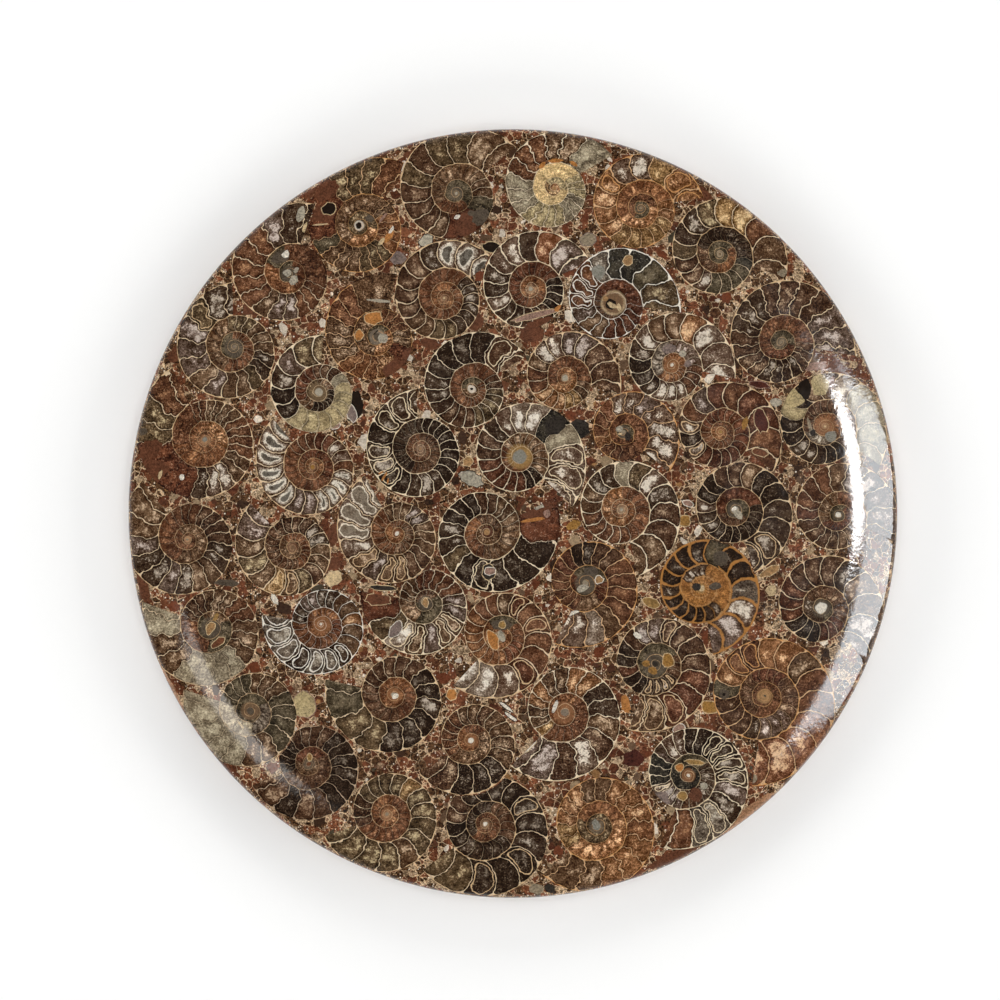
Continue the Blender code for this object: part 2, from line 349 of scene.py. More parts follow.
class Body:
    """A closed mesh in the making, in millimetres, with a normal for each face's corners."""

    def __init__(self):
        self.points = []
        self.faces = []
        self.skins = []
        self.chips = []
        self.normals = {}

    def add_points(self, points, normals=None):
        first = len(self.points)
        self.points.extend(points)
        for offset, normal in enumerate(normals or []):
            self.normals[first + offset] = normal
        return list(range(first, len(self.points)))

    def add_face(self, corners, skin=False, chip=None):
        self.faces.append(corners)
        self.skins.append(skin)
        self.chips.append(chip)

    def add_wall(self, upper, lower, skin=False):
        """A band of faces down from one closed loop to the next."""
        for index in range(len(upper)):
            after = (index + 1) % len(upper)
            self.add_face([upper[index], lower[index], lower[after], upper[after]], skin)

    def piece(self, name, material, chips):
        mesh = bpy.data.meshes.new(name)
        mesh.from_pydata([(x * MM, y * MM, z * MM) for x, y, z in self.points], [], self.faces)
        mesh.polygons.foreach_set("use_smooth", [True] * len(mesh.polygons))
        corner_normals = []
        for polygon, skin in zip(mesh.polygons, self.skins):
            for vertex in polygon.vertices:
                corner_normals.append(self.normals[vertex] if skin else polygon.normal)
        mesh.normals_split_custom_set(corner_normals)
        worn = [BARE if chip is None else chips[chip] for chip in self.chips]
        mesh.attributes.new("chip_colour", "FLOAT_VECTOR", "FACE")
        mesh.attributes.new("chip_share", "FLOAT", "FACE")
        tints = [share for chip in worn for share in chip.colour]
        mesh.attributes["chip_colour"].data.foreach_set("vector", tints)
        mesh.attributes["chip_share"].data.foreach_set("value", [chip.grain for chip in worn])
        mesh.materials.append(material)
        thing = bpy.data.objects.new(name, mesh)
        bpy.context.scene.collection.objects.link(thing)
        return thing


def add_face_skin(body, ground, holes, chips, scatter):
    """The polished face over this ground. Returns the loops of vertices round its edges."""
    places, triangles, worn = triangulated(ground, holes, chips, scatter)
    used = sorted({corner for triangle in triangles for corner in triangle})
    number = {place: index for index, place in enumerate(used)}
    kept = [places[place] for place in used]
    body.add_points([(x, y, face_height(hypot(x, y))) for x, y in kept],
                    [face_normal(x, y) for x, y in kept])
    triangles = [[number[corner] for corner in triangle] for triangle in triangles]
    for triangle, chip in zip(triangles, worn):
        body.add_face(triangle, True, chip)
    return edge_loops(open_edges(triangles))


def scattered(low, high, spacing, keep):
    """Points on a staggered grid that keep() accepts."""
    points = []
    rows = int((high[1] - low[1]) / (spacing * ROW_SPACING)) + 1
    columns = int((high[0] - low[0]) / spacing) + 1
    for row in range(rows):
        for column in range(columns):
            x = low[0] + (column + row % 2 / 2) * spacing
            y = low[1] + row * spacing * ROW_SPACING
            if keep(x, y):
                points.append((x, y))
    return points


def add_floor(body, loop, centre):
    """Side walls down from the loop to the plug's depth, drawn in toward the centre."""
    lower = []
    for vertex in loop:
        x, y, _ = body.points[vertex]
        lower.append((centre[0] + (x - centre[0]) * PLUG_DRAFT,
                      centre[1] + (y - centre[1]) * PLUG_DRAFT,
                      PLATE_THICKNESS - PLUG_DEPTH))
    ring = body.add_points(lower)
    body.add_wall(loop, ring)
    body.add_face(ring[::-1])


def ammonite_piece(shell, outline, chips, material):
    body = Body()
    scatter = scattered(outline.min(0), outline.max(0), FOSSIL_GRID,
                        lambda x, y: GRID_START < hypot(x, y) < RIM_REACH)
    for loop in add_face_skin(body, outline, [], chips, scatter):
        add_floor(body, loop, (shell.x, shell.y))
    return body.piece("ammonite_slice_" + shell.number, material, chips)


def add_rim(body, upper):
    """The rim round the plate, down from this loop to the back."""
    rays = [Vector(body.points[vertex][:2]).normalized() for vertex in upper]
    for radius, height, outward, upward in rim_rings():
        normals = [Vector((ray.x * outward, ray.y * outward, upward)) for ray in rays]
        lower = body.add_points([(ray.x * radius, ray.y * radius, height) for ray in rays], normals)
        body.add_wall(upper, lower, True)
        upper = lower
    body.add_face(upper[::-1])


def breccia_piece(outlines, chips, material):
    body = Body()
    turn = np.arange(RIM_SIDES) * tau / RIM_SIDES
    circle = np.stack((np.cos(turn), np.sin(turn)), 1)
    scatter = scattered((-PLATE_RADIUS,) * 2, (PLATE_RADIUS,) * 2, BRECCIA_GRID,
                        lambda x, y: GRID_START < hypot(x, y) < GRID_END)
    for radius in RIM_CIRCLES:
        scatter.extend(map(tuple, circle * radius))
    pockets = [grown(outline, POCKET_GAP) for _, outline in outlines]
    loops = add_face_skin(body, circle * FACE_EDGE, pockets, chips, scatter)
    reach = [max(hypot(*body.points[vertex][:2]) for vertex in loop) for loop in loops]
    rim = loops.pop(reach.index(max(reach)))
    for loop in loops:
        middle = np.array([body.points[vertex][:2] for vertex in loop]).mean(0)
        nearest = min(SHELLS, key=lambda shell: hypot(shell.x - middle[0], shell.y - middle[1]))
        add_floor(body, loop, (nearest.x, nearest.y))
    add_rim(body, rim)
    return body.piece("breccia_slab", material, chips)


# ------------------------ shader values

def colour(code):
    """A colour in the shader's linear values from its usual six digits."""
    shares = [int(code[place:place + 2], 16) / 255 for place in (0, 2, 4)]
    return tuple(c / 12.92 if c <= 0.04045 else ((c + 0.055) / 1.055) ** 2.4 for c in shares)


def plug(value, socket):
    if isinstance(value, Value):
        value.tree.links.new(value.socket, socket)
    elif isinstance(value, tuple) and socket.type == "RGBA":
        socket.default_value = (*value[:3], 1)
    else:
        socket.default_value = value


class Value:
    """A number, vector or colour in a node tree. Sums of values make their own nodes."""

    def __init__(self, tree, socket):
        self.tree = tree
        self.socket = socket

    def __add__(self, other):
        return maths("ADD", self, other)

    def __sub__(self, other):
        return maths("SUBTRACT", self, other)

    def __mul__(self, other):
        return maths("MULTIPLY", self, other)

    def __truediv__(self, other):
        return maths("DIVIDE", self, other)

    def __rsub__(self, other):
        return maths("SUBTRACT", other, self)

    __radd__ = __add__
    __rmul__ = __mul__


def made(tree, kind, settings, inputs, output=0):
    """A new node with these settings and inputs, and its output."""
    node = tree.nodes.new(kind)
    for name, value in settings.items():
        setattr(node, name, value)
    for name, value in inputs.items():
        plug(value, node.inputs[name])
    return Value(tree, node.outputs[output])


def tree_of(values):
    return next(value.tree for value in values if isinstance(value, Value))


def maths(operation, *values):
    return made(tree_of(values), "ShaderNodeMath", {"operation": operation}, dict(enumerate(values)))


def least(first, second):
    return maths("MINIMUM", first, second)


def most(first, second):
    return maths("MAXIMUM", first, second)


def hypotenuse(x, y):
    return maths("SQRT", x * x + y * y)


def wave(value):
    """The sine of a number of turns."""
    return maths("SINE", value * tau)


def rise(low, high, value):
    """0 below low and 1 above high, with a smooth step between."""
    return made(value.tree, "ShaderNodeMapRange", {"interpolation_type": "SMOOTHSTEP"},
                {"Value": value, "From Min": low, "From Max": high})


def fall(low, high, value):
    """1 below low and 0 above high, with a smooth step between."""
    return 1 - rise(low, high, value)


def mixed(first, second, share):
    """The first colour with this share of the second, held between 0 and 1."""
    tree = tree_of((first, second, share))
    return made(tree, "ShaderNodeMix", {"data_type": "RGBA", "clamp_factor": True},
                {0: share, 6: first, 7: second}, 2)


def multiplied(tint, factor):
    """A colour or vector times a number."""
    return made(tint.tree, "ShaderNodeVectorMath", {"operation": "SCALE"}, {0: tint, "Scale": factor})


# How far a warped place moves, in millimetres.
WARP = 2.2


def noise(place, scale, detail=2.0, roughness=0.5):
    """Soft noise about 0.5, with this many features to a millimetre."""
    return made(place.tree, "ShaderNodeTexNoise", {},
                {"Vector": place, "Scale": scale, "Detail": detail, "Roughness": roughness})


def noise_vector(place, scale, detail=2.0):
    """Soft noise about 0.5, of its own along each axis."""
    return made(place.tree, "ShaderNodeTexNoise", {},
                {"Vector": place, "Scale": scale, "Detail": detail}, 1)


def warped(place):
    """The place moved aside here and there, which makes cells irregular."""
    aside = multiplied(noise_vector(place, 0.5), WARP)
    return made(place.tree, "ShaderNodeVectorMath", {"operation": "ADD"}, {0: place, 1: aside})


def cells(place, scale, feature="F1", output=0):
    return made(place.tree, "ShaderNodeTexVoronoi", {"feature": feature},
                {"Vector": place, "Scale": scale}, output)


def chance(seed):
    """A random colour for each whole number."""
    return made(seed.tree, "ShaderNodeTexWhiteNoise", {"noise_dimensions": "1D"}, {"W": seed}, 1)


def components(vector):
    node = vector.tree.nodes.new("ShaderNodeSeparateXYZ")
    plug(vector, node.inputs[0])
    return [Value(vector.tree, output) for output in node.outputs]


def attribute(tree, name, output):
    return made(tree, "ShaderNodeAttribute", {"attribute_name": name}, {}, output)


SOCKETS = {"VECTOR": "NodeSocketVector", "RGBA": "NodeSocketColor", "VALUE": "NodeSocketFloat"}


def new_group(name, vectors, numbers, colours=""):
    """A node group with inputs of these names. Returns its tree and the inputs' values."""
    tree = bpy.data.node_groups.new(name, "ShaderNodeTree")
    for kind, labels in (("VECTOR", vectors), ("VALUE", numbers), ("RGBA", colours)):
        for label in labels.split():
            tree.interface.new_socket(label, in_out="INPUT", socket_type=SOCKETS[kind])
    start = tree.nodes.new("NodeGroupInput")
    named = {socket.name: Value(tree, socket) for socket in start.outputs if socket.name}
    return tree, SimpleNamespace(**named)


def close_group(tree, **outputs):
    end = tree.nodes.new("NodeGroupOutput")
    for label, value in outputs.items():
        tree.interface.new_socket(label, in_out="OUTPUT", socket_type=SOCKETS[value.socket.type])
        plug(value, end.inputs[label])


def use_group(tree, group, inputs):
    node = tree.nodes.new("ShaderNodeGroup")
    node.node_tree = group
    for label, value in inputs.items():
        plug(value, node.inputs[label])
    return {output.name: Value(tree, output) for output in node.outputs}


# ------------------------ the coil in a shader

# How many turns inward the fillings are told apart, how far the coil wobbles and how near its
# middle it is drawn, in millimetres.
RAMP_TURNS = 3.6
WOBBLE = 0.9
LEAST_RADIUS = 0.05


def phase_at(look, turns):
    """How many chambers lie between the mouth and this many turns inward."""
    outer = min(turns, 1.0)
    return look.septa * (outer * (1 + look.crowd * outer / 2) + (turns - outer) * (1 + look.crowd))


def from_middle(given):
    """The place seen from the middle of the coil, a little wobbly and with the lean taken out."""
    wobble_x, wobble_y, _ = components(noise_vector(given.place, 0.35, 1.0))
    place_x, place_y, _ = components(given.place)
    x = place_x - given.x + (wobble_x - 0.5) * WOBBLE
    y = place_y - given.y + (wobble_y - 0.5) * WOBBLE
    pull = hypotenuse(x, y) - (x * given.lean_x + y * given.lean_y)
    return x - given.lean_x * pull, y - given.lean_y * pull


def rounded(corner, to_septum, to_wall):
    """How deep a point lies in its chamber, whose corners are rounded to this radius."""
    return corner - hypotenuse(most(corner - to_septum, 0.0), most(corner - to_wall, 0.0))


def whorl_place(given, x, y):
    """How far from the middle a place is, how many turns inward and how far across its whorl."""
    radius = most(hypotenuse(x, y), LEAST_RADIUS)
    bearing = maths("ARCTAN2", y, x) / tau
    around = maths("FRACT", given.turn * (bearing - given.mouth))
    depth = maths("LOGARITHM", given.radius / radius, e) / given.growth
    whorl = maths("FLOOR", depth - around)
    return radius, around + whorl, depth - around - whorl


def septum_run(given, across):
    """How far a septum has moved along the coil at this place across, and how it slants there."""
    ruffle = (noise(given.place, 0.6, 1.0) - 0.5) * given.frill
    bulge = across * (1 - across) * 4
    moved = (given.sway * wave(across) + given.lobes * wave(across * 3) + ruffle
             - given.bow * bulge - given.tilt * (1 - across))
    slant = (given.bow * (8 * across - 4) + given.tilt
             + given.sway * tau * maths("COSINE", across * tau)
             + given.lobes * 3 * tau * maths("COSINE", across * 3 * tau))
    return moved, slant


def coil_group():
    """Where a point of the face lies in its ammonite's coil."""
    tree, given = new_group(
        "coil", "place",
        "x y mouth turn radius growth lean_x lean_y septa crowd bow tilt sway lobes frill")
    radius, turns, across = whorl_place(given, *from_middle(given))
    outer = least(turns, 1.0)
    density = given.crowd * outer + 1
    count = given.septa * (outer * (density + 1) / 2 + (turns - outer) * density)
    moved, slant = septum_run(given, across)
    phase = count + moved
    chamber = maths("FLOOR", phase)
    along = phase - chamber
    height = radius * given.growth
    length = radius * tau / (given.septa * density)
    steepness = hypotenuse(slant * length / height, 1)
    to_septum = least(along, 1 - along) * length / steepness
    to_wall = least(across, 1 - across) * height
    span = least(length, height)
    close_group(tree, chamber=chamber, turns=turns, radius=radius,
                heart=along * (1 - along) * across * (1 - across) * 16,
                inset=rounded(span * 0.5, to_septum, to_wall),
                to_edge=rounded(span * 0.17, to_septum, to_wall),
                walled=to_septum - to_wall)
    return tree


# ------------------------ a chamber in a shader

# The colour toward which the walls of the inner whorls go, and the radius in millimetres at
# which lines have their full width.
INNER_WALL = "b08a5c"
FULL_LINES = 14


def filling_group():
    """The colour of a chamber's filling, its septa and the walls between the whorls."""
    tree, here = new_group(
        "filling", "place",
        "chamber turns heart radius inset to_edge walled"
        " lines grain line_width disc_radius dot_radius seed",
        "dark middle light core traits wall septum disc dot")
    here.hearts, here.rings, here.cores = components(here.traits)
    here.luck, here.other_luck, _ = components(chance(here.chamber + here.seed))
    here.crystals = (noise(here.place, 1.6, 2.0, 0.85) - 0.5) * 4
    here.clouds = (noise(here.place, 0.42, 2.0, 0.55) - 0.5) * 3.2
    here.inner = rise(0.95, 1.05, here.turns)
    # The filling gets its painted glints here, a painted highlight on the crystals.
    tint = with_painted_glints(here, filling_tint(here))
    mottle = here.crystals * 0.3 + here.clouds * 0.2
    tint = with_spot(here, tint, here.disc, here.disc_radius, mottle, 0.8)
    tint = with_lines(here, with_ring(here, tint))
    tint = with_spot(here, tint, here.dot, here.dot_radius, here.crystals * 0.4, 1.0)
    close_group(tree, tint=tint, crystals=here.crystals, clouds=here.clouds)
    return tree


def filling_tint(here):
    """Dark by the walls and lighter in the middle, or with a light band round a hollow core."""
    crystals, clouds = here.crystals, here.clouds
    lining = rise(0.1, 0.9, here.to_edge)
    centre = here.heart + clouds * 0.25 + crystals * 0.2 + (here.luck - 0.6) * 0.6
    glow = here.hearts * rise(0.45, 0.9, centre)
    hollow = rise(0.1, 0.2, here.cores)
    band = rise(0.3, 0.8, here.inset + crystals * 0.3) * hollow
    tone = glow * 0.75 - 0.24 + lining * 0.12 + band * 0.6
    tone = tone + clouds * (0.3 + glow * 0.3) + crystals * (0.18 + here.grain * 0.35)
    tint = mixed(here.dark, here.middle, rise(-0.45, 0.35, tone))
    tint = mixed(tint, here.light, rise(0.25, 0.75, tone))
    from_core = here.inset + crystals * 0.35 + clouds * 0.3 - here.cores * DEEPEST
    edging = fall(0.08, 0.3, maths("ABSOLUTE", from_core + 0.12)) * hollow
    tint = mixed(tint, here.light, edging * 0.9)
    tint = mixed(tint, here.core, rise(0.0, 0.25, from_core) * hollow * 0.85)
    shade = 0.56 + here.other_luck * 0.25 + lining * 0.38 + crystals * (0.38 + here.grain * 0.38)
    return multiplied(tint, most(shade + clouds * 0.2, 0.2) * (1 + here.inner * 0.58))


def with_painted_glints(here, tint):
    """The tint with painted glints, a painted highlight on the crystals, and with real thin wisps and
    flecks.
    """
    crystals, clouds = here.crystals, here.clouds
    # Painted highlight: the mineral's light colour is laid where the crystals would glint.
    painted_glint = rise(0.6, 1.1, crystals * 0.75 + clouds * 0.4 + here.heart * here.hearts * 0.5)
    tint = mixed(tint, here.light, painted_glint * (0.3 + here.hearts * 0.45))
    wisp = fall(0.02, 0.1, maths("ABSOLUTE", clouds)) * rise(0.1, 0.6, crystals)
    fleck = fall(0.1, 0.36, cells(here.place, 1.3)) * rise(0.4, 0.8, crystals + clouds * 0.5)
    return mixed(tint, here.septum, most(fleck * (0.35 + here.grain * 0.5), wisp * 0.3))


def with_spot(here, tint, spot, reach, mottle, strength):
    """The tint with a ragged round spot in the middle of the coil."""
    ragged = here.radius + here.crystals * 0.2 + here.clouds * 0.2
    inside = fall(reach * 0.85, reach * 1.1, ragged)
    return mixed(tint, multiplied(spot, most(1 + mottle, 0.3)), inside * strength)


def with_ring(here, tint):
    """The tint with the second line inside a ringed chamber."""
    contour = maths("ABSOLUTE", here.inset - 0.8 + here.clouds * 0.25)
    ring = fall(0.06, 0.24, contour) * here.rings * (0.85 + here.crystals * 0.4)
    return mixed(tint, here.wall, ring)


def with_lines(here, tint):
    """The tint with the septa and whorl walls, which are finer toward the middle."""
    clouds, inner = here.clouds, here.inner
    fine = least(most(here.radius / FULL_LINES, 0.5), 1.0)
    is_wall = rise(-0.05, 0.05, here.walled)
    width = here.line_width * fine * (0.58 + clouds * 0.22) * (1 + is_wall * 0.2)
    line = fall(width * 0.45, width * 1.05, here.to_edge)
    broken = 0.95 + is_wall * 0.1 + here.crystals * 0.5 + clouds * 0.3
    strength = most(here.lines * (1 - inner * 0.6), inner * is_wall * 0.9)
    wall = mixed(here.wall, colour(INNER_WALL), inner * 0.6)
    return mixed(tint, mixed(here.septum, wall, is_wall),
                 line * broken * strength * (0.5 + fine * 0.5))


# ------------------------ minerals

# What fills a chamber: its colour in the dark by the walls, between, and where it is light;
# how strong its light middle is; and the colour of a hollow core and how many millimetres deep
# in the chamber it starts, if it has one. The deepest is what a ramp's full value stands for.
Mineral = namedtuple("Mineral", "dark middle light hearts core depth",
                     defaults=("000000", 0.0))
DEEPEST = 3.0
MINERALS = {
    "jet": Mineral("1c0f06", "35271c", "8a7c6c", 0.55),
    "soot": Mineral("28160a", "4b3a2b", "ab9d8c", 0.8),
    "chocolate": Mineral("2e190b", "583e2c", "a58c70", 0.6),
    "umber": Mineral("361f0e", "6a5039", "b59c80", 0.65),
    "rust": Mineral("3a1f0f", "6c4730", "ac8560", 0.45),
    "maroon": Mineral("331809", "5d3826", "a3795c", 0.5),
    "ember": Mineral("472612", "805637", "c0986e", 0.5),
    "amber": Mineral("4c2a10", "946845", "d2ad84", 0.75),
    "honey": Mineral("4e3114", "9c7a50", "d6b98c", 0.7),
    "copper": Mineral("6a4320", "9e6d39", "c4965c", 0.3),
    "olive": Mineral("2e2010", "665139", "b09e7a", 0.65),
    "moss": Mineral("2d2416", "60533f", "9c9076", 0.4),
    "basalt": Mineral("1e1a14", "3c352a", "77705f", 0.3),
    "slate": Mineral("32241a", "766858", "b4aa99", 0.7),
    "clay": Mineral("665743", "9c8f76", "c2b79c", 0.4),
    "pearl": Mineral("3a2010", "776250", "ccbfad", 1.0),
    "milk": Mineral("4c3420", "9f8e7c", "d8cebe", 0.95),
    "geode": Mineral("3e2210", "7d6a58", "d0c6b4", 0.3, "2e261d", 1.45),
    "agate": Mineral("3e2210", "8d7a68", "d3c7b2", 0.3, "4f3f2f", 0.95),
    "lilac": Mineral("33200f", "6f5b4f", "b7a89c", 0.9),
    "peach": Mineral("52290f", "93664a", "cfaa84", 0.9),
    "sand": Mineral("756446", "b5a177", "dccda2", 0.4),
    "ivory": Mineral("a4885c", "c9ae7e", "dfcb9e", 0.3),
    "buff": Mineral("887655", "b6a37a", "d2c397", 0.25),
    "cement": Mineral("3a1d10", "683d28", "996c4e", 0.3),
}

# The colours of chips and eyes, where they are flatter than the mineral.
FLAT_TINTS = {
    "white": "cdc4b4", "cream": "b9a17b", "crystal": "9a917f", "orange": "a16a36", "tan": "94714a",
    "ochre": "896330", "clay": "847661", "moss": "4e4337", "basalt": "2e2822", "jet": "1f160f",
    "cement": "5c3826", "rust": "613b26", "buff": "a8956c", "blue": "7a766b", "pink": "8c6e5f",
    "peach": "9a7254", "lilac": "72625a", "maroon": "46231a", "honey": "8c6c3e",
}

# How the septa run across a whorl, in parts of a chamber: bowed inward, tilted, swung in an S,
# lobed and ruffled.
Run = namedtuple("Run", "bow tilt sway lobes frill")
RUNS = {
    "arched": Run(0.38, 0.28, 0.02, 0.00, 0.12),
    "smooth": Run(0.31, 0.28, 0.04, 0.00, 0.20),
    "wavy": Run(0.26, 0.28, 0.11, 0.03, 0.22),
    "sinuous": Run(0.22, 0.30, 0.18, 0.04, 0.20),
    "frilly": Run(0.20, 0.30, 0.17, 0.06, 0.32),
}

# The colours of the whorl walls and of the septa.
WALLS = {
    "dim": ("b39574", "b59d82"), "tan": ("d0b086", "d8bf9c"), "orange": ("c8935a", "cea77c"),
    "cream": ("e4cfab", "e2cfb0"), "white": ("e8e0d2", "e4dac8"), "copper": ("a6723a", "a6723a"),
}

# How strong a chamber's lines are where a filling says so. A ring is a second line inside it.
LINE_STRENGTHS = {"plain": 0.0, "faint": 0.4}
Fill = namedtuple("Fill", "turns mineral ringed lines")
Look = namedtuple("Look", "family septa crowd run walls line grain eye fills")

